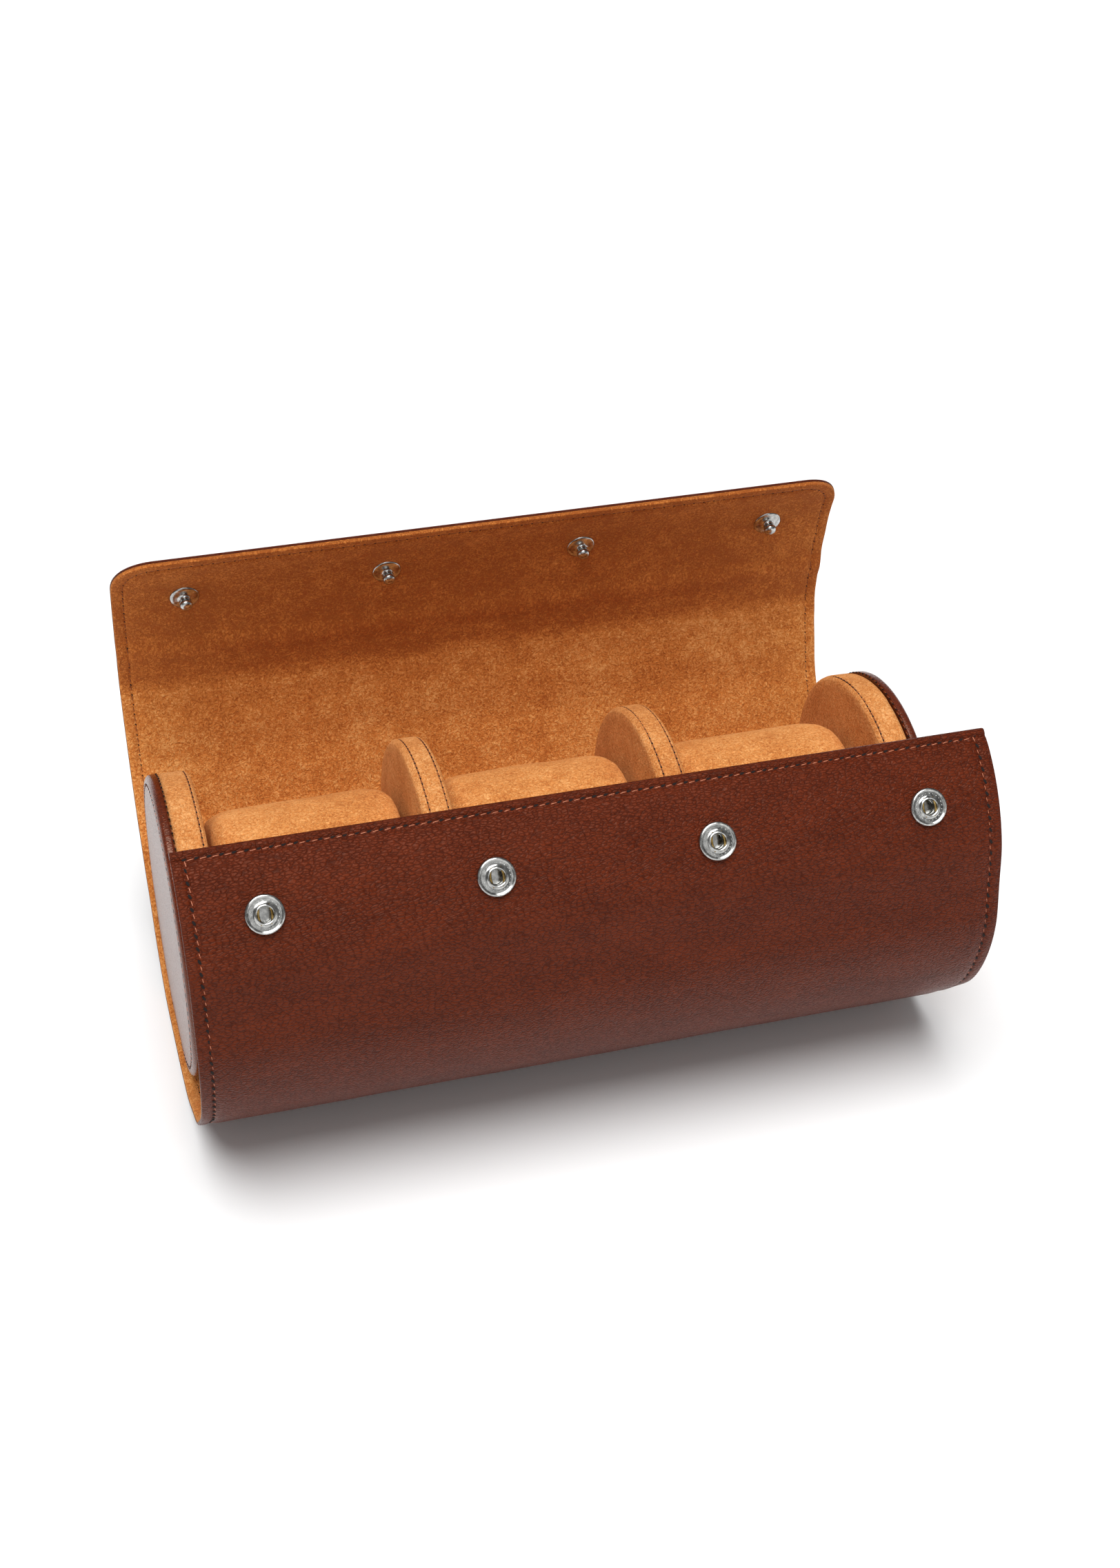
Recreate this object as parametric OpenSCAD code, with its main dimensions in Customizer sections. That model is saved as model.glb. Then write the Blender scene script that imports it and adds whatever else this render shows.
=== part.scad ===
// Cylindrical travel roll for three watches.
// Four round dividers stand in a leather wrap. The wrap's front panel and back flap
// close round them, and the flap's tab snaps down over the front panel.
// X runs along the roll, -Y is the front, +Z is up. The origin is the centre of the
// flat bottom that the roll stands on.
//
// The wrap is drawn closed, as rings round the dividers, and cut into strips. Each strip
// then swings open about its hinge to where it rests. Angles of the front panel are
// measured from the bottom towards the front, and those of the flap from the bottom
// towards the back.

/* [Wrap] */
// Length of the wrap along the roll
wrap_length = 225; // [200:1:250]
// Thickness of the outer leather
leather_t = 1.2; // [1.0:0.1:1.4]
// Thickness of the stiffening board inside the wrap
board_t = 0.8; // [0.6:0.1:1.0]
// Thickness of the suede lining
lining_t = 1.0; // [0.8:0.1:1.2]
// Angle at which the front panel's lip ends when the roll is closed
lip_angle = 207; // [205:1:208]
// Angle at which the flap's tab ends when the roll is closed
tip_angle = 198.5; // [194:0.5:200]

/* [Dividers] */
// Radius of the round dividers
divider_r = 44; // [42:1:46]
// Thickness of a padded divider
divider_t = 9.4; // [8:0.2:11]
// Rounding of a divider's rim
divider_rim_r = 3; // [2:0.5:4]
// Thickness of the leather face on each end of the roll
end_face_t = 3.2; // [2:0.2:5]
// Distance from the end of the wrap to the leather end face
end_inset = 1.3; // [0.5:0.1:5]

/* [Pillows] */
// Front-to-back size of a watch pillow
pillow_depth = 66; // [60:1:70]
// Height of a watch pillow
pillow_height = 73; // [70:1:76]
// Gap between a pillow and the divider on each side of it
pillow_gap = 1.2; // [0.8:0.1:2]
// Thickness of a pillow's suede cover
pillow_cover_t = 1.5; // [1:0.1:2]

/* [Snaps] */
// Distance between neighbouring snaps
snap_pitch = 60.8; // [56:0.2:64]
// Outer radius of a snap's socket ring
socket_r = 5.2; // [4.6:0.1:5.4]
// Radius of the ball on a snap's stud
stud_ball_r = 1.95; // [1.8:0.05:2.0]
// Radius of the round cap on the outside of the tab
cap_r = 6.2; // [5.5:0.1:6.5]

/* [Opening] */
// How far the front panel's first hinge stands open at rest
front_open = 17; // [12:1:18]
// How far the flap's first hinge stands open at rest
flap_open = 22; // [16:1:26]
// How far the tab stands open at rest
tab_open = 42; // [38:1:45]

/* [Hidden] */
$fn = 96;

// Layers of the wrap, from the inside out
gap = 0.3;
wall = lining_t + board_t + leather_t;
lining_r = divider_r + gap;
board_r = lining_r + lining_t;
leather_r = board_r + board_t;
outer_r = leather_r + leather_t;

// The bottom is pressed flat by the roll's weight
flat_depth = 2.6;
centre_z = outer_r - flat_depth;

// Hinge angles of the wrap, and each hinge's share of the opening
front_hinges = [20, 52, 84, 116, 150];
front_shares = [1, 0.75, 0.65, 0.1, 0.8];
flap_hinges = [58, 80, 102, 124];
flap_shares = [1, 0.65, 0.4, 0.45];
flap_end = 145;
slit = 0.2;

// The tab rides over the snaps' sockets, so it lies outside the front panel
tab_board_t = 0.6;
tab_lining_t = 0.8;
tab_inner_r = outer_r + 2.7;
tab_board_r = tab_inner_r + tab_lining_t;
tab_leather_r = tab_board_r + tab_board_t;
tab_outer_r = tab_leather_r + leather_t;
tab_hinges = [154, 170];
crease_share = -0.77;
tab_2_share = 0.17;
tab_corner_r = 12.5;
corner_overlap = 0.2;

// Dividers and compartments along the roll
face_x = wrap_length / 2 - end_inset;
end_divider_x = face_x - end_face_t - divider_t / 2;
divider_step = 2 * end_divider_x / 3;
divider_xs = [for (i = [0:3]) -end_divider_x + i * divider_step];
cover_t = 1.2;
fit_gap = 0.1;
pillow_xs = [for (i = [0:2]) (i - 1) * divider_step];
pillow_w = divider_step - divider_t - 2 * pillow_gap;
pillow_r = pillow_depth / 2;
pillow_z = wall + gap;

// Snaps
snap_xs = [for (i = [0:3]) (i - 1.5) * snap_pitch];
snap_angle = 182.5;
snap_lift = tab_inner_r - outer_r;
socket_h = snap_lift - 0.95;
socket_mouth_r = stud_ball_r + 0.45;
spring_wire_r = 0.3;
barrel_r = 2.9;
barrel_bore_r = stud_ball_r + 0.35;
post_flange_r = 4.6;
post_flange_t = 0.5;
stud_flange_r = 4.3;
stud_flange_t = 0.5;
stud_shank_r = 2.2;
stud_bore_r = 1.45;
stud_neck_r = stud_ball_r * 0.72;
stud_neck_h = 2.4;
cap_pin_r = stud_bore_r - 0.05;
cap_h = 1.4;

big = 200;

// --- Section geometry: 2D x is the roll's Y, 2D y is the height above the axis ---

// A point at radius r, at an angle from the bottom; side is -1 to the front, 1 to the back.
function rim_point(r, angle, side) = [side * r * sin(angle), -r * cos(angle)];

// Extrudes a section along the whole length of the roll, or a given length.
module along_roll(length = wrap_length) {
    translate([-length / 2, 0, centre_z])
        rotate([90, 0, 90])
            linear_extrude(length)
                children();
}

// A wedge from the axis between two angles of one side.
module wedge(a0, a1, side) {
    middle = (a0 + a1) / 2;
    polygon([[0, 0], rim_point(big, a0, side), rim_point(big, middle, side), rim_point(big, a1, side)]);
}

// A strip of a ring between two angles, with a hinge slit at each end.
module ring_strip(r0, r1, a0, a1, side) {
    intersection() {
        difference() {
            circle(r1, $fn = 180);
            circle(r0, $fn = 180);
        }
        wedge(a0 + slit, a1 - slit, side);
    }
}

// A disc whose bottom is flat, as far from the wrap's outside as its edge is.
module flat_disc(r) {
    intersection() {
        circle(r, $fn = 180);
        translate([-big, -r + flat_depth])
            square([2 * big, big]);
    }
}

// --- Hinges: each strip's place at rest ---

// Swings children open about a hinge; a positive angle opens the front or the flap.
module swing(hinge_r, hinge_angle, side, opening) {
    p = rim_point(hinge_r, hinge_angle, side);
    translate([0, p[0], centre_z + p[1]])
        rotate([-side * opening, 0, 0])
            translate([0, -p[0], -centre_z - p[1]])
                children();
}

// Places children with strip k of the front panel.
module on_front(k) {
    if (k == 0) {
        children();
    } else {
        on_front(k - 1)
            swing(outer_r, front_hinges[k - 1], -1, front_open * front_shares[k - 1])
                children();
    }
}

// Places children with strip k of the flap.
module on_flap(k) {
    if (k == 0) {
        children();
    } else {
        on_flap(k - 1)
            swing(outer_r, flap_hinges[k - 1], 1, flap_open * flap_shares[k - 1])
                children();
    }
}

// Places children with the crease strip, which bends the other way.
module on_crease() {
    on_flap(4)
        swing(lining_r, flap_end, 1, tab_open * crease_share)
            children();
}

// Places children with strip k of the tab.
module on_tab(k) {
    if (k == 1) {
        on_crease()
            swing(tab_outer_r, tab_hinges[0], 1, tab_open)
                children();
    } else {
        on_tab(1)
            swing(tab_outer_r, tab_hinges[1], 1, tab_open * tab_2_share)
                children();
    }
}

// --- Base: the part of the wrap that stays still under the dividers ---

module base_layer(r0, r1) {
    along_roll()
        intersection() {
            difference() {
                flat_disc(r1);
                flat_disc(r0);
            }
            union() {
                wedge(-1, front_hinges[0] - slit, -1);
                wedge(-1, flap_hinges[0] - slit, 1);
            }
        }
}

module base_leather() {
    color("#7a3e2b") base_layer(leather_r, outer_r);
}

module base_board() {
    color("#8d7b63") base_layer(board_r, leather_r);
}

module base_lining() {
    color("#b9693f") base_layer(lining_r, board_r);
}

// --- Dividers ---

// A disc standing across the roll, with a rounded rim and a flat bottom.
module standing_disc(r, thickness, rim_r, flat_z) {
    intersection() {
        translate([0, 0, centre_z])
            rotate([0, 90, 0])
                rotate_extrude($fn = 144)
                    disc_profile(r, thickness, rim_r);
        translate([-big / 2, -big / 2, flat_z])
            cube([big, big, big]);
    }
}

// Half of a disc's section, with quarter-round corners at the rim.
module disc_profile(r, thickness, rim_r) {
    translate([0, -thickness / 2])
        square([r - rim_r, thickness]);
    translate([0, -thickness / 2 + rim_r])
        square([r, thickness - 2 * rim_r]);
    for (s = [-1, 1])
        translate([r - rim_r, s * (thickness / 2 - rim_r)])
            circle(rim_r, $fn = 32);
}

module divider_cover(i) {
    color("#c07a4c")
        translate([divider_xs[i - 1], 0, 0])
            difference() {
                standing_disc(divider_r, divider_t, divider_rim_r, wall);
                standing_disc(divider_r - cover_t, divider_t - 2 * cover_t, divider_rim_r - cover_t, wall + cover_t);
            }
}

module divider_core(i) {
    inset = cover_t + fit_gap;
    color("#d8c9a8")
        translate([divider_xs[i - 1], 0, 0])
            standing_disc(divider_r - inset, divider_t - 2 * inset, divider_rim_r - inset, wall + inset);
}

// The leather face that closes one end of the roll; side is -1 at the left end.
module end_face(side) {
    color("#7a3e2b")
        translate([side * (face_x - end_face_t / 2), 0, 0])
            standing_disc(divider_r, end_face_t, 0.8, wall);
}

// --- Front panel ---

// Centre of the rounded lip in the section, at the middle of the wrap's thickness.
lip_r = wall / 2;
lip_mid_r = lining_r + lip_r;
lip_centre_angle = lip_angle - 2;

// The angle at which a strip of the front panel ends.
function front_end(k) = k == 5 ? lip_centre_angle : front_hinges[k];

module front_leather_section(k) {
    ring_strip(leather_r, outer_r, front_hinges[k - 1], front_end(k), -1);
}

module lip_section() {
    difference() {
        translate(rim_point(lip_mid_r, lip_centre_angle, -1))
            circle(lip_r, $fn = 48);
        ring_strip(lining_r, leather_r, front_hinges[4], lip_centre_angle, -1);
    }
}

module front_layer(k, r0, r1) {
    on_front(k)
        along_roll()
            ring_strip(r0, r1, front_hinges[k - 1], front_end(k), -1);
}

module front_leather(k) {
    color("#7a3e2b")
        on_front(k)
            difference() {
                along_roll()
                    union() {
                        front_leather_section(k);
                        if (k == 5) lip_section();
                    }
                if (k == 5) post_holes(barrel_r + 0.05);
            }
}

module front_board(k) {
    color("#8d7b63")
        difference() {
            front_layer(k, board_r, leather_r);
            if (k == 5) on_front(5) post_holes(barrel_r + 0.05);
        }
}

module front_lining(k) {
    color("#b9693f")
        difference() {
            front_layer(k, lining_r, board_r);
            if (k == 5) on_front(5) post_holes(post_flange_r + 0.1);
        }
}

// --- Flap, crease and tab ---

// The angle at which a strip of the flap ends.
function flap_strip_end(k) = k == 4 ? flap_end : flap_hinges[k];

module flap_layer(k, r0, r1) {
    on_flap(k)
        along_roll()
            ring_strip(r0, r1, flap_hinges[k - 1], flap_strip_end(k), 1);
}

module flap_leather(k) {
    color("#7a3e2b") flap_layer(k, leather_r, outer_r);
}

module flap_board(k) {
    color("#8d7b63") flap_layer(k, board_r, leather_r);
}

module flap_lining(k) {
    color("#c9814f") flap_layer(k, lining_r, board_r);
}

// The strip that steps up over the front panel's lip, between two depths of the wrap.
module crease_section(r0, r1, tab_r0, tab_r1) {
    a0 = flap_end + slit;
    a1 = tab_hinges[0] - slit;
    polygon([rim_point(r0, a0, 1), rim_point(r1, a0, 1), rim_point(tab_r1, a1, 1), rim_point(tab_r0, a1, 1)]);
}

module crease_leather() {
    color("#7a3e2b")
        on_crease()
            along_roll()
                crease_section(leather_r - 0.4, outer_r, tab_leather_r, tab_outer_r);
}

module crease_lining() {
    color("#c9814f")
        on_crease()
            along_roll()
                crease_section(lining_r, leather_r - 0.4, tab_inner_r, tab_leather_r);
}

// What is cut away to round the tab's two corners.
module tab_corners() {
    middle = (tab_hinges[1] + tip_angle) / 2;
    corner_y = tab_corner_r - tab_inner_r * sin(tip_angle - middle);
    corner_x = wrap_length / 2 - tab_corner_r;
    translate([0, 0, centre_z])
        rotate([middle - 180, 0, 0])
            for (s = [0, 1])
                mirror([s, 0, 0])
                    translate([corner_x, corner_y, 0])
                        linear_extrude(2 * tab_outer_r)
                            difference() {
                                translate([0, -2 * tab_corner_r])
                                    square(2 * tab_corner_r);
                                circle(tab_corner_r + corner_overlap, $fn = 64);
                            }
}

// A strip of the tab before it is placed: the second strip has rounded corners and snap holes.
module tab_strip(k, r0, r1) {
    if (k == 1) {
        along_roll()
            ring_strip(r0, r1, tab_hinges[0], tab_hinges[1], 1);
    } else {
        difference() {
            along_roll()
                ring_strip(r0, r1, tab_hinges[1], tip_angle + slit, 1);
            tab_corners();
            post_holes(stud_shank_r + 0.05);
        }
    }
}

module tab_layer(k, r0, r1) {
    on_tab(k)
        tab_strip(k, r0, r1);
}

module tab_leather(k) {
    color("#7a3e2b") tab_layer(k, tab_leather_r, tab_outer_r);
}

module tab_board(k) {
    color("#8d7b63") tab_layer(k, tab_board_r, tab_leather_r);
}

module tab_lining(k) {
    color("#c9814f") tab_layer(k, tab_inner_r, tab_board_r);
}

// --- Pillows ---

// An upright oval bar with rounded ends, inset all round by a thickness.
module pillow_solid(inset) {
    r = pillow_r - inset;
    rise = pillow_height - pillow_depth;
    width = pillow_w - 2 * inset;
    translate([-width / 2, 0, pillow_z + pillow_r])
        rotate([90, 0, 90])
            linear_extrude(width)
                union() {
                    circle(r);
                    translate([-r, 0])
                        square([2 * r, rise]);
                    translate([0, rise])
                        circle(r);
                }
}

module pillow_cover(i) {
    color("#c9814f")
        translate([pillow_xs[i - 1], 0, 0])
            difference() {
                pillow_solid(0);
                pillow_solid(pillow_cover_t);
            }
}

module pillow_core(i) {
    color("#e8dcc0")
        translate([pillow_xs[i - 1], 0, 0])
            pillow_solid(pillow_cover_t + fit_gap);
}

// --- Snaps: their axis is a radius of the closed roll ---

// Places children with +Z outward along a snap's axis, at its height over the roll's axis.
module at_snaps() {
    for (x = snap_xs)
        translate([x, 0, centre_z])
            rotate([180 - snap_angle, 0, 0])
                children();
}

module post_holes(r) {
    at_snaps()
        cylinder(r = r, h = big, $fn = 48);
}

// A round part of a snap, from its section.
module turned() {
    rotate_extrude($fn = 48)
        children();
}

module socket_section() {
    z0 = outer_r;
    z1 = z0 + socket_h;
    difference() {
        union() {
            translate([barrel_r + 0.05, z0])
                square([socket_r - barrel_r - 0.05, socket_h * 0.4]);
            translate([socket_mouth_r, z0 + socket_h * 0.4])
                square([socket_r - socket_h * 0.6 - socket_mouth_r, socket_h * 0.6]);
            translate([socket_r - socket_h * 0.6, z0 + socket_h * 0.4])
                intersection() {
                    circle(socket_h * 0.6, $fn = 48);
                    square(socket_h);
                }
        }
        translate([0, z0 + 0.4])
            square([socket_r - 1, z1 - z0 - 0.8]);
    }
}

module snap_sockets() {
    color("#d6d8dc")
        on_front(5)
            at_snaps()
                turned()
                    socket_section();
}

// Two bowed wires that lie beside the closed stud's neck, over its ball.
module snap_springs() {
    bow = 6;
    z = outer_r + socket_h * 0.58;
    color("#c9a55a")
        on_front(5)
            at_snaps()
                for (s = [0, 180])
                    rotate([0, 0, s])
                        translate([stud_neck_r + 0.06 + spring_wire_r - bow, 0, z])
                            rotate([0, 0, -26])
                                rotate_extrude(angle = 52, $fn = 96)
                                    translate([bow, 0])
                                        circle(spring_wire_r, $fn = 16);
}

module snap_posts() {
    z0 = lining_r + 0.1;
    color("#c8b48a")
        on_front(5)
            at_snaps()
                turned()
                    difference() {
                        union() {
                            translate([0, z0])
                                square([post_flange_r, post_flange_t]);
                            translate([0, z0])
                                square([barrel_r, outer_r + 0.4 - z0]);
                        }
                        translate([0, z0 + post_flange_t])
                            square([barrel_bore_r, big]);
                    }
}

module snap_studs() {
    // The flat flange stands clear of the curved lining at its rim.
    base_z = sqrt(tab_inner_r * tab_inner_r - stud_flange_r * stud_flange_r) - 0.03;
    ball_z = base_z - stud_flange_t - stud_neck_h;
    ball_half_h = stud_ball_r * 0.6;
    color("#d6d8dc")
        on_tab(2)
            at_snaps()
                turned()
                    difference() {
                        union() {
                            translate([0, base_z - stud_flange_t])
                                square([stud_flange_r, stud_flange_t]);
                            translate([0, ball_z])
                                square([stud_neck_r, base_z - ball_z]);
                            intersection() {
                                translate([0, ball_z])
                                    circle(stud_ball_r * 0.95, $fn = 48);
                                translate([0, ball_z - ball_half_h])
                                    square([stud_ball_r, ball_half_h * 2]);
                            }
                            translate([0, base_z])
                                square([stud_shank_r, tab_outer_r - base_z]);
                        }
                        translate([0, base_z - 0.3])
                            square([stud_bore_r, big]);
                    }
}

module snap_caps() {
    dome_r = (cap_r * cap_r + cap_h * cap_h) / (2 * cap_h);
    z0 = tab_outer_r;
    pin_z = tab_inner_r;
    color("#d6d8dc")
        on_tab(2)
            at_snaps()
                turned() {
                    intersection() {
                        translate([0, z0 + cap_h - dome_r])
                            circle(dome_r, $fn = 180);
                        translate([0, z0])
                            square([cap_r, cap_h * 2]);
                    }
                    translate([0, pin_z])
                        square([cap_pin_r, z0 + 0.2 - pin_z]);
                }
}

base_leather();
base_board();
base_lining();
end_face(-1);  // end_face_left
end_face(1);  // end_face_right
for (i = [1:4]) {
    divider_cover(i);
    divider_core(i);
}
for (i = [1:5]) {
    front_leather(i);
    front_board(i);
    front_lining(i);
}
for (i = [1:4]) {
    flap_leather(i);
    flap_board(i);
    flap_lining(i);
}
crease_leather();
crease_lining();
for (i = [1:2]) {
    tab_leather(i);
    tab_board(i);
    tab_lining(i);
}
for (i = [1:3]) {
    pillow_cover(i);
    pillow_core(i);
}
snap_sockets();
snap_springs();
snap_posts();
snap_studs();
snap_caps();
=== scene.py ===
"""A leather travel roll for three watches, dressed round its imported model.

The wrap lies open: its front panel stands before four padded dividers, and its back flap
stands up behind them with the tab that snaps down over the front. Lengths in the classes
are in millimetres, as a maker would give them, and every mesh is written in metres.

The wrap is laid out along one line, from the front lip (negative) under the bottom
(zero) to the tab's tip (positive). "Laid" lengths are measured along that line on the
suede side, and "across" is the distance from the middle of the roll, along X.
"""

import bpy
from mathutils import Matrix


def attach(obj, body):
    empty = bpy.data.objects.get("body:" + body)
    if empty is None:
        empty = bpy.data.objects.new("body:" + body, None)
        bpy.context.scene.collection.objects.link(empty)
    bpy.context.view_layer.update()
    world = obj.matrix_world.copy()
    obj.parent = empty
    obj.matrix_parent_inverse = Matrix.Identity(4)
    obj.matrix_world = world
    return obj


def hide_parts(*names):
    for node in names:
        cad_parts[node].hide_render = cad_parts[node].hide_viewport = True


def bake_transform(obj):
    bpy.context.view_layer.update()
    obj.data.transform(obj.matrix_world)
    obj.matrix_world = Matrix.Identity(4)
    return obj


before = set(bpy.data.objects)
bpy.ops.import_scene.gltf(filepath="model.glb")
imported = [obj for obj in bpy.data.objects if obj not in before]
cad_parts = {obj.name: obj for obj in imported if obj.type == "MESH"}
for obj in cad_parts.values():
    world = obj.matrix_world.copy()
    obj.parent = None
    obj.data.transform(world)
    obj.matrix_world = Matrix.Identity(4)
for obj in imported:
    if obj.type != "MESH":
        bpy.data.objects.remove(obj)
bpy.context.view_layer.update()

import logging
import math
from dataclasses import dataclass, field
from enum import Enum

import bmesh
import bpy
import numpy as np
from mathutils import Matrix, Vector

LOG = logging.getLogger("watch_roll")
MM = 0.001
Array = np.ndarray


# --- Sizes ---------------------------------------------------------------------------


@dataclass(frozen=True)
class WrapSizes:
    """The wrap's sizes, as cut and closed, in millimetres and degrees."""

    length: float = 225.0
    lining_r: float = 44.3
    wall: float = 3.0
    flat_depth: float = 2.6
    centre_z: float = 44.7
    lining_t: float = 1.0
    board_t: float = 0.8
    tab_rise: float = 5.7
    tab_wall: float = 2.6
    tab_thinner: float = 0.2
    rise_start: float = 141.5
    rise_end: float = 157.0
    lip_angle: float = 205.0
    tip_angle: float = 198.5
    corner_r: float = 12.5
    seam_inset: float = 3.4
    lip_seam: float = 2.6
    stitch_pitch: float = 3.2
    snaps: int = 4
    snap_pitch: float = 60.8
    socket_angle: float = 182.5
    stud_angle: float = 177.5

    @property
    def half(self) -> float:
        """Half of the wrap's length."""
        return self.length / 2

    @property
    def lip_r(self) -> float:
        """Radius of the rounded front lip."""
        return self.wall / 2


@dataclass(frozen=True)
class Fold:
    """A line that the wrap folds on: where it lies closed and how far it stands open.

    angle and radius place the fold's axis in the closed roll, opening is its angle at
    rest, and the cloth bends between the closed angles start and end.
    """

    inner: str
    outer: str
    angle: float
    radius: float
    opening: float
    start: float
    end: float


SIZES = WrapSizes()
OUTER_R = SIZES.lining_r + SIZES.wall
TAB_OUTER_R = SIZES.lining_r + SIZES.tab_rise + SIZES.tab_wall
FRONT_FOLDS = (
    Fold("base", "front_panel_1", 20, OUTER_R, 17.0, 11.5, 34.5),
    Fold("front_panel_1", "front_panel_2", 52, OUTER_R, 12.75, 37.5, 66.5),
    Fold("front_panel_2", "front_panel_3", 84, OUTER_R, 11.05, 69.5, 98.5),
    Fold("front_panel_3", "front_panel_4", 116, OUTER_R, 1.7, 101.5, 131.5),
    Fold("front_panel_4", "front_panel_5", 150, OUTER_R, 13.6, 134.5, 165.5),
)
BACK_FOLDS = (
    Fold("base", "flap_panel_1", 58, OUTER_R, 22.0, 48.5, 67.5),
    Fold("flap_panel_1", "flap_panel_2", 80, OUTER_R, 14.3, 70.5, 89.5),
    Fold("flap_panel_2", "flap_panel_3", 102, OUTER_R, 8.8, 92.5, 111.5),
    Fold("flap_panel_3", "flap_panel_4", 124, OUTER_R, 9.9, 114.5, 133.0),
    Fold("flap_panel_4", "crease_panel", 145, SIZES.lining_r, -32.34, 137.0, 148.3),
    Fold("crease_panel", "tab_panel_1", 154, TAB_OUTER_R, 42.0, 150.7, 160.0),
    Fold("tab_panel_1", "tab_panel_2", 170, TAB_OUTER_R, 7.14, 162.4, 171.5),
)
# Laid lengths over which painted shade falls onto the tab
TAB_SHADE = (107.0, 113.0)
FRONT_SPLITS = (10.0, 36.0, 68.0, 100.0, 133.0)
BACK_SPLITS = (47.0, 69.0, 91.0, 113.0, 134.8, 149.5, 161.2)


# --- Small maths ---------------------------------------------------------------------


def smooth(t: Array) -> Array:
    """Smooth step of t from 0 to 1."""
    t = np.clip(t, 0.0, 1.0)
    return t * t * (3.0 - 2.0 * t)


def turned(points: Array, pivot: Array, degrees: Array | float) -> Array:
    """Turns section points (y, z) about a pivot.

    Args:
        points: Rows of (y, z).
        pivot: The point they turn about.
        degrees: One angle, or one for each row, from +Y towards +Z.

    Returns:
        The turned rows.
    """
    a = np.radians(degrees)
    d = points - pivot
    c, s = np.cos(a), np.sin(a)
    return pivot + np.stack([d[:, 0] * c - d[:, 1] * s, d[:, 0] * s + d[:, 1] * c], 1)


def ripple(across: Array, laid: Array, seed: int, pitch: float) -> Array:
    """Gentle fixed unevenness, as cloth over board has, from -1 to 1.

    Args:
        across: Places along the roll, in millimetres.
        laid: Places along the wrap, in millimetres.
        seed: Which of the fixed patterns it is.
        pitch: The rough distance between two crests, in millimetres.

    Returns:
        One height for each place.
    """
    rng = np.random.default_rng(seed)
    total = np.zeros(np.broadcast(across, laid).shape)
    for _ in range(7):
        angle, phase = rng.uniform(0, math.pi), rng.uniform(0, 2 * math.pi)
        k = 2 * math.pi / (pitch * rng.uniform(0.7, 1.7))
        total += np.sin(k * (math.cos(angle) * across + math.sin(angle) * laid) + phase)
    return total / 4.0


# --- The wrap's section --------------------------------------------------------------


class Side(Enum):
    """Which way a half of the wrap leaves the bottom."""

    FRONT = -1
    BACK = 1


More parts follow.
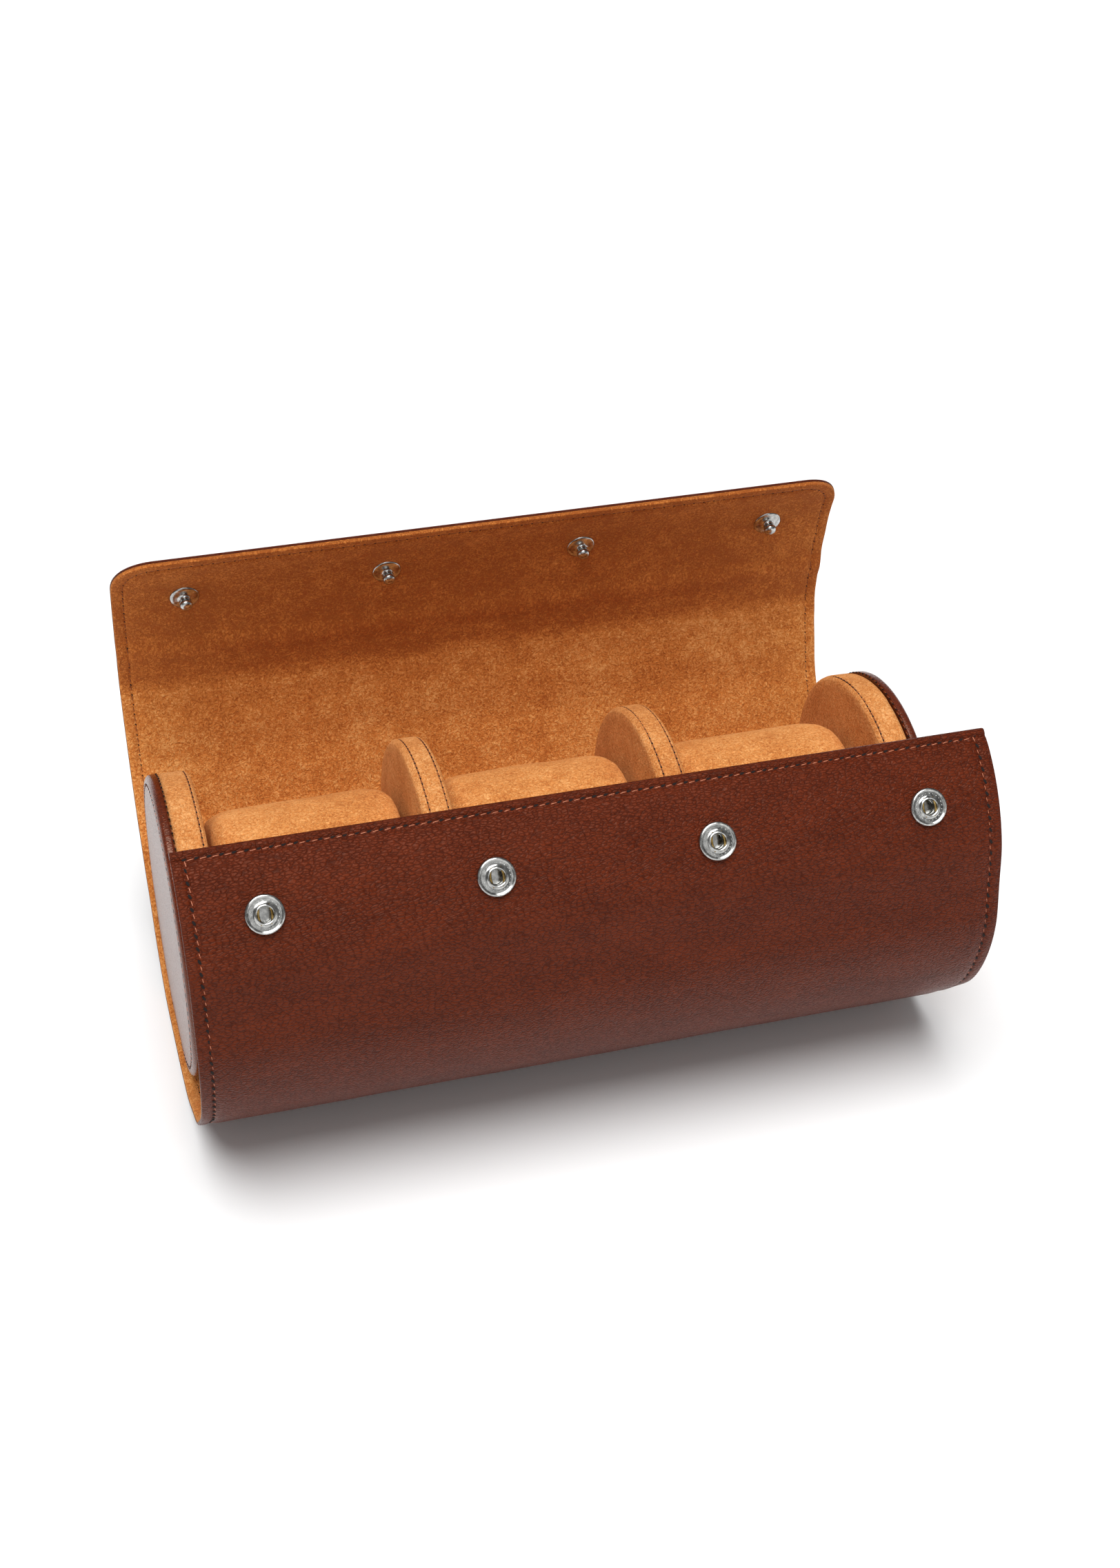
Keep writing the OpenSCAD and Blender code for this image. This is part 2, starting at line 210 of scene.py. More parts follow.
class HalfSection:
    """The line that one half of the wrap follows, from the bottom to its free edge."""

    STEP = 0.1

    def __init__(self, side: Side, folds: tuple[Fold, ...], last: float) -> None:
        """Lays the half closed, then opens it fold by fold.

        Args:
            side: Front or back.
            folds: Its folds, from the bottom outwards.
            last: The closed angle at which it ends.
        """
        self.side, self.folds = side, folds
        self.angles = np.arange(0.0, last + self.STEP / 2, self.STEP)
        inner = self.closed(self.angles, np.zeros_like(self.angles))
        steps = np.linalg.norm(np.diff(inner, axis=0), axis=1)
        self.laid = np.concatenate([[0.0], np.cumsum(steps)])
        self.walls = self.wall(self.angles)
        self.suede_side = self.opened(self.angles, 0.0 * self.walls)
        self.leather_side = self.opened(self.angles, self.walls)

    def rise(self, angles: Array) -> Array:
        """How far the tab's part of the flap has stepped out over the front, 0 to 1."""
        if self.side is Side.FRONT:
            return np.zeros_like(angles)
        return smooth((angles - SIZES.rise_start) / (SIZES.rise_end - SIZES.rise_start))

    def wall(self, angles: Array) -> Array:
        """The wrap's whole thickness at these closed angles."""
        return SIZES.wall + (SIZES.tab_wall - SIZES.wall) * self.rise(angles)

    def inner(self, angles: Array) -> Array:
        """The suede side's closed points, pressed flat at the bottom."""
        softness = 3.0
        a = np.radians(angles)
        flat = (SIZES.lining_r - SIZES.flat_depth) / np.maximum(np.cos(a), 0.2)
        low = np.minimum(flat, SIZES.lining_r)
        r = low - np.log1p(np.exp(-softness * np.abs(flat - SIZES.lining_r))) / softness
        r = r + SIZES.tab_rise * self.rise(angles)
        y = self.side.value * r * np.sin(a)
        return np.stack([y, SIZES.centre_z - r * np.cos(a)], 1)

    def closed(self, angles: Array, depth: Array) -> Array:
        """Closed points at a depth outwards from the suede side.

        Args:
            angles: Closed angles from the bottom, in degrees.
            depth: Depth at each, in millimetres.

        Returns:
            Rows of (y, z).
        """
        t = self.inner(angles + 0.05) - self.inner(angles - 0.05)
        t /= np.linalg.norm(t, axis=1)[:, None]
        n = self.side.value * np.stack([t[:, 1], -t[:, 0]], 1)
        return self.inner(angles) + n * np.asarray(depth)[:, None]

    def pivot(self, fold: Fold) -> Array:
        """A fold's closed axis in the section."""
        a = math.radians(fold.angle)
        y = self.side.value * fold.radius * math.sin(a)
        return np.array([y, SIZES.centre_z - fold.radius * math.cos(a)])

    def middle(self, angle: float) -> Array:
        """The closed point in the middle of the wall at one angle."""
        one = np.array([float(angle)])
        return self.closed(one, self.wall(one) / 2)

    def share(self, fold: Fold, angles: Array, points: Array) -> Array:
        """How much of a fold's opening each point takes, as the blend will give it.

        Args:
            fold: The fold.
            angles: The points' closed angles.
            points: The points, closed inside this fold.

        Returns:
            Shares from 0 to 1.
        """
        pivot, turn = self.pivot(fold), -self.side.value * fold.opening
        start = self.middle(fold.start)[0]
        reach = turned(self.middle(fold.end), pivot, turn)[0] - start
        low, high = np.zeros(len(angles)), np.ones(len(angles))
        for _ in range(34):
            w = (low + high) / 2
            moved = turned(points, pivot, turn * w)
            more = smooth((moved - start) @ reach / (reach @ reach)) > w
            low, high = np.where(more, w, low), np.where(more, high, w)
        margin = 6.0
        w = np.where(angles > fold.end + margin, 1.0, (low + high) / 2)
        return np.where(angles < fold.start - margin, 0.0, w)

    def opened(self, angles: Array, depth: Array) -> Array:
        """The points at rest: each fold opened, from the free edge inwards.

        Args:
            angles: Closed angles from the bottom, in degrees.
            depth: Depth at each, in millimetres.

        Returns:
            Rows of (y, z).
        """
        points = self.closed(angles, depth)
        for fold in reversed(self.folds):
            w = self.share(fold, angles, points)
            turn = -self.side.value * fold.opening * w
            points = turned(points, self.pivot(fold), turn)
        return points

    def laid_at(self, angle: float) -> float:
        """Length along the suede side from the bottom to a closed angle."""
        return float(np.interp(angle, self.angles, self.laid))

    def ends(self, fold: Fold) -> tuple[Vector, Vector]:
        """Where a fold's blend starts and ends at rest, in metres."""
        found = []
        for angle in (fold.start, fold.end):
            one = np.array([float(angle)])
            y, z = self.opened(one, self.wall(one) / 2)[0] * MM
            found.append(Vector((0.0, y, z)))
        return found[0], found[1]


class WrapLine:
    """The whole line of the wrap at rest, from the front lip to the tab's tip."""

    def __init__(self) -> None:
        """Joins the two halves at the bottom."""
        self.front = HalfSection(Side.FRONT, FRONT_FOLDS, SIZES.lip_angle)
        self.back = HalfSection(Side.BACK, BACK_FOLDS, SIZES.tip_angle)
        halves = (self.front, self.back)
        keys = ("laid", "walls", "suede_side", "leather_side")
        f, b = ({k: getattr(h, k) for k in keys} for h in halves)
        self.laid = np.concatenate([-f["laid"][:0:-1], b["laid"]])
        self.walls = np.concatenate([f["walls"][:0:-1], b["walls"]])
        self.suede_side = np.concatenate([f["suede_side"][:0:-1], b["suede_side"]])
        self.leather_side = np.concatenate(
            [f["leather_side"][:0:-1], b["leather_side"]]
        )

    @property
    def lip(self) -> float:
        """Laid length of the front lip's extreme edge."""
        return float(self.laid[0]) - SIZES.lip_r

    @property
    def tip(self) -> float:
        """Laid length of the tab's tip."""
        return float(self.laid[-1])

    def at(self, laid: Array, depth: Array) -> Array:
        """Section points at rest.

        Args:
            laid: Laid lengths.
            depth: Depth outwards from the suede side at each; broadcast with laid.

        Returns:
            Points (..., 2).
        """
        laid = np.asarray(laid, float)
        inside, outside, wall = self.sides(laid)
        share = np.asarray(depth, float) / wall
        return inside + (outside - inside) * share[..., None]

    def sides(self, laid: Array) -> tuple[Array, Array, Array]:
        """The suede side, the leather side and the wall between them at laid lengths."""
        both = [
            np.stack([np.interp(laid, self.laid, side[:, i]) for i in (0, 1)], -1)
            for side in (self.suede_side, self.leather_side)
        ]
        return both[0], both[1], np.interp(laid, self.laid, self.walls)

    def wall_at(self, laid: Array) -> Array:
        """The wall's thickness at laid lengths."""
        return np.interp(laid, self.laid, self.walls)

    def normal(self, laid: Array) -> Array:
        """The outward direction at laid lengths."""
        inside, outside, _ = self.sides(np.asarray(laid, float))
        n = outside - inside
        return n / np.linalg.norm(n, axis=-1, keepdims=True)

    def along(self, laid: Array) -> Array:
        """The direction in which laid lengths grow."""
        n = self.normal(laid)
        return np.stack([-n[..., 1], n[..., 0]], -1)


# --- Meshes --------------------------------------------------------------------------


def make_piece(
    name: str,
    points: Array,
    faces: list[tuple[int, ...]],
    laid: Array | None = None,
    rim: Array | None = None,
    crease: float = 50.0,
) -> bpy.types.Object:
    """A smooth-shaded mesh object with its place in its mesh.

    Args:
        name: The piece's name.
        points: Vertices in millimetres.
        faces: Vertex numbers of each face.
        laid: Each vertex's place on the flat-cut material, in millimetres.
        rim: Each vertex's distance from the free edge, in millimetres.
        crease: Edges sharper than this angle stay sharp.

    Returns:
        The object, linked to the scene.
    """
    mesh = bpy.data.meshes.new(name)
    mesh.from_pydata((points * MM).tolist(), [], faces)
    for key, kind, values in (
        ("laid", "FLOAT_VECTOR", laid),
        ("rim", "FLOAT", rim),
    ):
        if values is not None:
            attribute = mesh.attributes.new(key, kind, "POINT")
            slot = "vector" if kind == "FLOAT_VECTOR" else "value"
            flat = (np.asarray(values) * MM).astype(np.float32).ravel()
            attribute.data.foreach_set(slot, flat)
    clean(mesh)
    shade(mesh, crease)
    return linked(name, mesh)


def linked(name: str, data: bpy.types.ID) -> bpy.types.Object:
    """A new object of this data, in the scene."""
    piece = bpy.data.objects.new(name, data)
    bpy.context.scene.collection.objects.link(piece)
    return piece


def clean(mesh: bpy.types.Mesh) -> None:
    """Merges doubles and turns the faces outwards.

    Args:
        mesh: The mesh.
    """
    work = bmesh.new()
    work.from_mesh(mesh)
    bmesh.ops.remove_doubles(work, verts=work.verts, dist=2e-6)
    bmesh.ops.recalc_face_normals(work, faces=work.faces)
    work.to_mesh(mesh)
    work.free()


def shade(mesh: bpy.types.Mesh, crease: float) -> None:
    """Shades a mesh smooth, with edges sharper than crease degrees kept."""
    mesh.polygons.foreach_set("use_smooth", [True] * len(mesh.polygons))
    mesh.set_sharp_from_angle(angle=math.radians(crease))


def keep_result(piece: bpy.types.Object) -> None:
    """Makes what a piece's modifiers show its plain mesh, and removes them.

    Args:
        piece: The piece.
    """
    bpy.context.view_layer.update()
    graph = bpy.context.evaluated_depsgraph_get()
    mesh = bpy.data.meshes.new_from_object(
        piece.evaluated_get(graph), preserve_all_data_layers=True, depsgraph=graph
    )
    piece.modifiers.clear()
    old, piece.data = piece.data, mesh
    mesh.name = piece.name
    bpy.data.meshes.remove(old)


def grid_faces(rows: int, columns: int, first: int, flip: bool) -> list[tuple]:
    """Quads of a grid of vertices.

    Args:
        rows: Rows of vertices.
        columns: Vertices in a row.
        first: Number of the grid's first vertex.
        flip: Whether the faces look the other way.

    Returns:
        The quads.
    """
    faces = []
    for r in range(rows - 1):
        for c in range(columns - 1):
            a = first + r * columns + c
            quad = (a, a + columns, a + columns + 1, a + 1)
            faces.append(quad[::-1] if flip else quad)
    return faces


def shell(outer: Array, inner: Array) -> tuple[Array, list[tuple[int, ...]]]:
    """Two facing grids of points, closed round their edges.

    Args:
        outer: Grid (rows, columns, 3).
        inner: A grid of the same shape.

    Returns:
        The points and the faces.
    """
    rows, columns, _ = outer.shape
    count = rows * columns
    points = np.concatenate([outer.reshape(-1, 3), inner.reshape(-1, 3)])
    faces = grid_faces(rows, columns, 0, False) + grid_faces(rows, columns, count, True)
    ring = [(0, c) for c in range(columns)]
    ring += [(r, columns - 1) for r in range(1, rows)]
    ring += [(rows - 1, c) for c in range(columns - 2, -1, -1)]
    ring += [(r, 0) for r in range(rows - 2, 0, -1)]
    numbers = [r * columns + c for r, c in ring]
    for a, b in zip(numbers, numbers[1:] + numbers[:1]):
        faces.append((a, b, b + count, a + count))
    return points, faces


def lathe(profile: Array, spokes: int) -> tuple[Array, list[tuple[int, ...]]]:
    """A solid of revolution about Z.

    Args:
        profile: Rows of (radius, height) that start and end on the axis, or a closed
            loop of rows off the axis.
        spokes: Number of steps round the axis.

    Returns:
        The points and the faces.
    """
    a = np.arange(spokes) * 2 * math.pi / spokes
    r, z = profile[:, 0], profile[:, 1]
    x, y = np.outer(r, np.cos(a)), np.outer(r, np.sin(a))
    points = np.stack([x, y, np.repeat(z[:, None], spokes, 1)], -1).reshape(-1, 3)
    faces: list[tuple[int, ...]] = []
    loop = r[0] > 1e-6
    rows = len(profile) if loop else len(profile) - 1
    for i in range(rows):
        j = (i + 1) % len(profile)
        for k in range(spokes):
            m = (k + 1) % spokes
            quad = [i * spokes + k, j * spokes + k, j * spokes + m, i * spokes + m]
            faces.append(tuple(quad))
    return points, faces


# --- Shader groups -------------------------------------------------------------------


FLOAT = "NodeSocketFloat"
VECTOR = "NodeSocketVector"


def add_node(
    tree: bpy.types.NodeTree, kind: str, links: dict, **values: object
) -> bpy.types.Node:
    """Adds a node to a tree, sets its properties, and links or sets its inputs.

    Args:
        tree: The tree.
        kind: The node's Blender type.
        links: Its inputs by name or number: a socket to link, or a value to set.
        values: Its own properties, which are set first.

    Returns:
        The node.
    """
    node = tree.nodes.new(kind)
    for key, value in values.items():
        setattr(node, key, value)
    for key, value in links.items():
        if isinstance(value, bpy.types.NodeSocket):
            tree.links.new(value, node.inputs[key])
        else:
            node.inputs[key].default_value = value
    return node


class Effect:
    """A shader node group with named inputs and outputs."""

    def __init__(
        self, name: str, inputs: dict[str, float], outputs: tuple[str, ...]
    ) -> None:
        """Starts the group.

        Args:
            name: The effect's name.
            inputs: Its number inputs and their usual values; Place comes by itself.
            outputs: Its number outputs.
        """
        self.tree = bpy.data.node_groups.new(name, "ShaderNodeTree")
        new_socket = self.tree.interface.new_socket
        new_socket(name="Place", in_out="INPUT", socket_type=VECTOR)
        for key, value in inputs.items():
            socket = new_socket(name=key, in_out="INPUT", socket_type=FLOAT)
            socket.default_value = value
        for key in outputs:
            new_socket(name=key, in_out="OUTPUT", socket_type=FLOAT)
        self.source = self.tree.nodes.new("NodeGroupInput")
        self.result = self.tree.nodes.new("NodeGroupOutput")

    def node(self, kind: str, links: dict, **values: object) -> bpy.types.Node:
        """Adds a node; see add_node."""
        return add_node(self.tree, kind, links, **values)

    def given(self, key: str) -> bpy.types.NodeSocket:
        """One of the group's inputs."""
        return self.source.outputs[key]

    def give(self, key: str, node: bpy.types.Node) -> None:
        """Links a node's first output to one of the group's outputs."""
        self.tree.links.new(node.outputs[0], self.result.inputs[key])


def build_grain() -> bpy.types.NodeTree:
    """Smooth hide: fine creases that run along the roll, over pores and soft waves.

    Returns:
        A group with Height, Tone and Gloss outputs; Tone is darker where the grain sinks,
        as painted shade.
    """
    effect = Effect(
        "hide_grain", {"Creases": 1.0, "Pores": 1.0}, ("Height", "Tone", "Gloss")
    )
    wander = 0.9 * MM
    warp = effect.node(
        "ShaderNodeTexNoise",
        {"Vector": effect.given("Place"), "Scale": 260.0, "Detail": 2.0},
    )
    warped = effect.node(
        "ShaderNodeVectorMath",
        {0: warp.outputs["Color"], 1: (wander,) * 3, 2: effect.given("Place")},
        operation="MULTIPLY_ADD",
    )
    long = effect.node(
        "ShaderNodeMapping", {"Vector": warped.outputs[0], "Scale": (0.55, 1.25, 1.0)}
    )
    cells = effect.node(
        "ShaderNodeTexVoronoi",
        {"Vector": long.outputs[0], "Scale": 1150.0, "Randomness": 1.0},
        feature="DISTANCE_TO_EDGE",
    )
    edge = effect.node(
        "ShaderNodeMapRange",
        {0: cells.outputs["Distance"], 1: 0.0, 2: 0.22, 3: 0.0, 4: 1.0},
        interpolation_type="SMOOTHSTEP",
    )
    folds = effect.node(
        "ShaderNodeTexNoise",
        {"Vector": long.outputs[0], "Scale": 1300.0, "Detail": 4.0, "Roughness": 0.6},
    )
    soft = effect.node(
        "ShaderNodeTexNoise",
        {"Vector": long.outputs[0], "Scale": 90.0, "Detail": 3.0},
    )
    near = effect.node(
        "ShaderNodeMath",
        {0: soft.outputs[0], 1: 0.4, 2: folds.outputs[0]},
        operation="MULTIPLY_ADD",
    )
    creases = effect.node(
        "ShaderNodeMath",
        {0: edge.outputs[0], 1: effect.given("Pores")},
        operation="MULTIPLY",
    )
    waves = effect.node(
        "ShaderNodeMath",
        {0: folds.outputs[0], 1: effect.given("Creases")},
        operation="MULTIPLY",
    )
    height = effect.node(
        "ShaderNodeMath",
        {0: waves.outputs[0], 1: 1.6, 2: creases.outputs[0]},
        operation="MULTIPLY_ADD",
    )
    # painted shade: the tone drops along the cell edges and low folds, where the grain
    # sinks, over a soft random mottle of the hide
    tone = effect.node(
        "ShaderNodeMath",
        {0: edge.outputs[0], 1: 0.3, 2: near.outputs[0]},
        operation="MULTIPLY_ADD",
    )
    gloss = effect.node(
        "ShaderNodeMapRange",
        {0: height.outputs[0], 1: 0.4, 2: 1.8, 3: 0.0, 4: 1.0},
    )
    for key, node in (("Height", height), ("Tone", tone), ("Gloss", gloss)):
        effect.give(key, node)
    return effect.tree


def build_nap() -> bpy.types.NodeTree:
    """Brushed suede: flecks of nap, clumps where it was stroked, and wide patches.

    Returns:
        A group with Tone and Height outputs.
    """
    effect = Effect("suede_nap", {"Fleck": 1.0, "Patch": 1.0}, ("Tone", "Height"))
    place = effect.given("Place")
    wander = 1.6 * MM
    warp = effect.node(
        "ShaderNodeTexNoise", {"Vector": place, "Scale": 420.0, "Detail": 2.0}
    )
    combed = effect.node(
        "ShaderNodeVectorMath",
        {0: warp.outputs["Color"], 1: (wander,) * 3, 2: place},
        operation="MULTIPLY_ADD",
    )
    flecks = effect.node(
        "ShaderNodeTexNoise",
        {
            "Vector": combed.outputs[0],
            "Scale": 1500.0,
            "Detail": 3.0,
            "Roughness": 0.6,
            "Distortion": 0.8,
        },
    )
    clumps = effect.node(
        "ShaderNodeTexNoise",
        {"Vector": place, "Scale": 210.0, "Detail": 3.0, "Roughness": 0.6},
    )
    patches = effect.node(
        "ShaderNodeTexNoise",
        {"Vector": place, "Scale": 42.0, "Detail": 2.0, "Roughness": 0.5},
    )
    parts = []
    for node, low, high, key in (
        (flecks, 0.26, 0.74, "Fleck"),
        (clumps, 0.33, 0.67, "Patch"),
        (patches, 0.35, 0.65, "Patch"),
    ):
        spread = effect.node(
            "ShaderNodeMapRange",
            {0: node.outputs[0], 1: low, 2: high, 3: -0.5, 4: 0.5},
        )
        scaled = effect.node(
            "ShaderNodeMath",
            {0: spread.outputs[0], 1: effect.given(key)},
            operation="MULTIPLY",
        )
        parts.append(scaled.outputs[0])
    near = effect.node(
        "ShaderNodeMath", {0: parts[1], 1: 0.45, 2: parts[0]}, operation="MULTIPLY_ADD"
    )
    whole = effect.node(
        "ShaderNodeMath",
        {0: parts[2], 1: 0.4, 2: near.outputs[0]},
        operation="MULTIPLY_ADD",
    )
    tone = effect.node(
        "ShaderNodeMath", {0: whole.outputs[0], 1: 0.5}, operation="ADD", use_clamp=True
    )
    effect.give("Tone", tone)
    effect.give("Height", near)
    return effect.tree


def build_wear() -> bpy.types.NodeTree:
    """Paint and rubbing along a cut edge, from the piece's own distance to its edge.

    Returns:
        A group with an Edge output, 1 at the edge and 0 inside.
    """
    effect = Effect("edge_wear", {"Width": 0.8 * MM}, ("Edge",))
    rim = effect.node("ShaderNodeAttribute", {}, attribute_name="rim")
    rough = effect.node(
        "ShaderNodeTexNoise",
        {"Vector": effect.given("Place"), "Scale": 700.0, "Detail": 3.0},
    )
    far = effect.node(
        "ShaderNodeMath",
        {0: rough.outputs[0], 1: effect.given("Width")},
        operation="MULTIPLY",
    )
    wide = effect.node(
        "ShaderNodeMath", {0: far.outputs[0], 1: 2.2}, operation="MULTIPLY"
    )
    edge = effect.node(
        "ShaderNodeMapRange",
        {0: rim.outputs["Fac"], 1: 0.0, 2: wide.outputs[0], 3: 1.0, 4: 0.0},
    )
    effect.give("Edge", edge)
    return effect.tree


class Effects:
    """The shared effects, each built once."""

    def __init__(self) -> None:
        """Builds every group."""
        self.grain = build_grain()
        self.nap = build_nap()
        self.wear = build_wear()


# --- Finishes ------------------------------------------------------------------------

Colour = tuple[float, float, float]


def srgb(red: int, green: int, blue: int) -> Colour:
    """A colour from screen values of 0 to 255, made linear."""
    values = [c / 255 for c in (red, green, blue)]
    linear = [
        c / 12.92 if c <= 0.04045 else ((c + 0.055) / 1.055) ** 2.4 for c in values
    ]
    return linear[0], linear[1], linear[2]


class MaterialMaker:
    """Opens a material and adds nodes round its Principled shader."""

    def __init__(self, name: str, **constants: object) -> None:
        """Starts a material.

        Args:
            name: Its name.
            constants: Values set on the shader's own sockets, with _ for a space.
        """
        self.material = bpy.data.materials.new(name)
        self.material.use_nodes = True
        self.tree = self.material.node_tree
        self.shader = self.tree.nodes["Principled BSDF"]
        for key, value in constants.items():
            self.shader.inputs[key.replace("_", " ")].default_value = value

    def node(self, kind: str, links: dict, **values: object) -> bpy.types.Node:
        """Adds a node; see add_node."""
        return add_node(self.tree, kind, links, **values)

    def effect(self, tree: bpy.types.NodeTree, links: dict) -> bpy.types.Node:
        """Places a shared effect."""
        return self.node("ShaderNodeGroup", links, node_tree=tree)

    def place(self, laid: bool) -> bpy.types.NodeSocket:
        """Where a pattern reads its place.

        Args:
            laid: Whether it lies on the flat-cut material or in the piece's space.

        Returns:
            The place.
        """
        if laid:
            node = self.node("ShaderNodeAttribute", {}, attribute_name="laid")
            return node.outputs["Vector"]
        return self.node("ShaderNodeTexCoord", {}).outputs["Object"]

    def ramp(
        self, factor: bpy.types.NodeSocket, stops: list[tuple[float, Colour]]
    ) -> bpy.types.NodeSocket:
        """A colour ramp.

        Args:
            factor: What it reads.
            stops: Positions and colours.

        Returns:
            The colour.
        """
        node = self.node("ShaderNodeValToRGB", {"Fac": factor})
        while len(node.color_ramp.elements) < len(stops):
            node.color_ramp.elements.new(0.5)
        for element, (where, colour) in zip(node.color_ramp.elements, stops):
            element.position = where
            element.color = (*colour, 1.0)
        return node.outputs["Color"]

    def spread(
        self, value: bpy.types.NodeSocket, low: float, high: float, out: tuple[float, float]
    ) -> bpy.types.NodeSocket:
        """Maps a value's range to another.

        Args:
            value: The value.
            low: The value that gives the first of out.
            high: The value that gives the second.
            out: The range that comes out.

        Returns:
            The mapped value.
        """
        node = self.node(
            "ShaderNodeMapRange", {0: value, 1: low, 2: high, 3: out[0], 4: out[1]}
        )
        return node.outputs[0]

    def feed(self, **links: bpy.types.NodeSocket) -> None:
        """Links sockets to the shader's inputs, with _ for a space."""
        for key, value in links.items():
            self.tree.links.new(value, self.shader.inputs[key.replace("_", " ")])

    def bump(
        self, height: bpy.types.NodeSocket, strength: float, distance: float
    ) -> None:
        """Gives the shader a bump.

        Args:
            height: What stands up.
            strength: How far the shading leans with it, 0 to 1.
            distance: Its height in millimetres.
        """
        node = self.node(
            "ShaderNodeBump",
            {"Height": height, "Strength": strength, "Distance": distance * MM},
        )
        self.feed(Normal=node.outputs["Normal"])


@dataclass(frozen=True)
class Leather:
    """Smooth brown hide with a soft sheen, and painted edges where it is cut."""

    name: str
    laid: bool
    dark: Colour = srgb(68, 23, 10)
    light: Colour = srgb(106, 42, 20)
    edge: Colour = srgb(84, 34, 20)
    roughness: float = 0.33
    shine: float = 0.16
    relief: float = 0.3

    def build(self, effects: Effects) -> bpy.types.Material:
        """Makes the material.

        Args:
            effects: The shared effects.

        Returns:
            The material.
        """
        m = MaterialMaker(
            self.name,
            Specular_IOR_Level=self.shine,
            Specular_Tint=(1.0, 0.66, 0.5, 1.0),
        )
        place = m.place(self.laid)
        grain = m.effect(effects.grain, {"Place": place})
        # the grain's tone is the hide's own mottle plus painted shade in its creases
        tone = m.ramp(
            m.spread(grain.outputs["Tone"], 0.62, 1.18, (0.0, 1.0)),
            [(0.0, self.dark), (1.0, self.light)],
        )
        if self.laid:
            wear = m.effect(effects.wear, {"Place": place})
            tone = m.node(
                "ShaderNodeMix",
                {0: wear.outputs["Edge"], 6: tone, 7: (*self.edge, 1.0)},
                data_type="RGBA",
            ).outputs[2]
        rough = m.spread(
            grain.outputs["Gloss"],
            0.0,
            1.0,
            (self.roughness + 0.1, self.roughness - 0.05),
        )
        m.feed(Base_Color=tone, Roughness=rough)
        m.bump(grain.outputs["Height"], 0.55, self.relief)
        return m.material


@dataclass(frozen=True)
class Suede:
    """Brushed suede, in one of its tones."""

    name: str
    laid: bool
    dark: Colour
    middle: Colour
    light: Colour
    fleck: float = 1.0
    patch: float = 0.45
    relief: float = 0.35
    tab_painted_shade: float = 0.0

    def build(self, effects: Effects) -> bpy.types.Material:
        """Makes the material.

        Args:
            effects: The shared effects.

        Returns:
            The material.
        """
        m = MaterialMaker(
            self.name,
            Roughness=0.92,
            Specular_IOR_Level=0.18,
            Sheen_Weight=0.28,
            Sheen_Roughness=0.45,
            Sheen_Tint=(*srgb(255, 196, 128), 1.0),
        )
        nap = m.effect(
            effects.nap,
            {"Place": m.place(self.laid), "Fleck": self.fleck, "Patch": self.patch},
        )
        level = nap.outputs["Tone"]
        # painted shade on the tab, where it faces away from the light
        if self.tab_painted_shade:
            level = self.paint_tab_shade(m, level)
        tone = m.ramp(
            level, [(0.05, self.dark), (0.5, self.middle), (0.95, self.light)]
        )
        m.feed(Base_Color=tone)
        m.bump(nap.outputs["Height"], 0.85, self.relief)
        return m.material

    def paint_tab_shade(
        self, m: MaterialMaker, level: bpy.types.NodeSocket
    ) -> bpy.types.NodeSocket:
        """Paints shade on the nap beyond the crease, where the tab faces down, away from
        the light above.

        Args:
            m: The material's maker.
            level: The nap's tone.

        Returns:
            The tone, darker on the tab with painted shade.
        """
        laid = m.node("ShaderNodeSeparateXYZ", {"Vector": m.place(True)}).outputs["Y"]
        start, end = (v * MM for v in TAB_SHADE)
        # painted shade: the nap's tone falls from the crease onto the tab
        fall = m.spread(laid, start, end, (0.0, -self.tab_painted_shade))
        return m.node(
            "ShaderNodeMath", {0: level, 1: fall}, operation="ADD", use_clamp=True
        ).outputs[0]


@dataclass(frozen=True)
class Plain:
    """A finish with a fine, even mottle: thread, board, the painted shadow in a needle
    hole, or foam.
    """

    name: str
    dark: Colour
    light: Colour
    roughness: float
    scale: float
    relief: float

    def build(self, _effects: Effects) -> bpy.types.Material:
        """Makes the material.

        Returns:
            The material.
        """
        m = MaterialMaker(self.name, Roughness=self.roughness)
        noise = m.node(
            "ShaderNodeTexNoise",
            {"Vector": m.place(False), "Scale": self.scale, "Detail": 3.0},
        ).outputs[0]
        m.feed(
            Base_Color=m.ramp(
                m.spread(noise, 0.35, 0.65, (0.0, 1.0)),
                [(0.0, self.dark), (1.0, self.light)],
            )
        )
        m.bump(noise, 0.5, self.relief)
        return m.material


@dataclass(frozen=True)
class PlatedMetal:
    """Polished plating with fine scratches and a slight film in the hollows."""

    name: str
    dark: Colour
    light: Colour
    roughness: float

    def build(self, _effects: Effects) -> bpy.types.Material:
        """Makes the material.

        Returns:
            The material.
        """
        m = MaterialMaker(self.name, Metallic=1.0)
        place = m.place(False)
        film = m.node(
            "ShaderNodeTexNoise", {"Vector": place, "Scale": 900.0, "Detail": 3.0}
        ).outputs[0]
        scratch = m.node(
            "ShaderNodeTexNoise",
            {
                "Vector": m.node(
                    "ShaderNodeMapping", {"Vector": place, "Scale": (8.0, 0.6, 3.0)}
                ).outputs[0],
                "Scale": 700.0,
                "Detail": 2.0,
            },
        ).outputs[0]
        m.feed(
            Base_Color=m.ramp(
                m.spread(film, 0.35, 0.7, (0.0, 1.0)),
                [(0.0, self.dark), (1.0, self.light)],
            ),
            Roughness=m.spread(
                film, 0.3, 0.7, (self.roughness, self.roughness + 0.12)
            ),
        )
        m.bump(scratch, 0.15, 0.01)
        return m.material


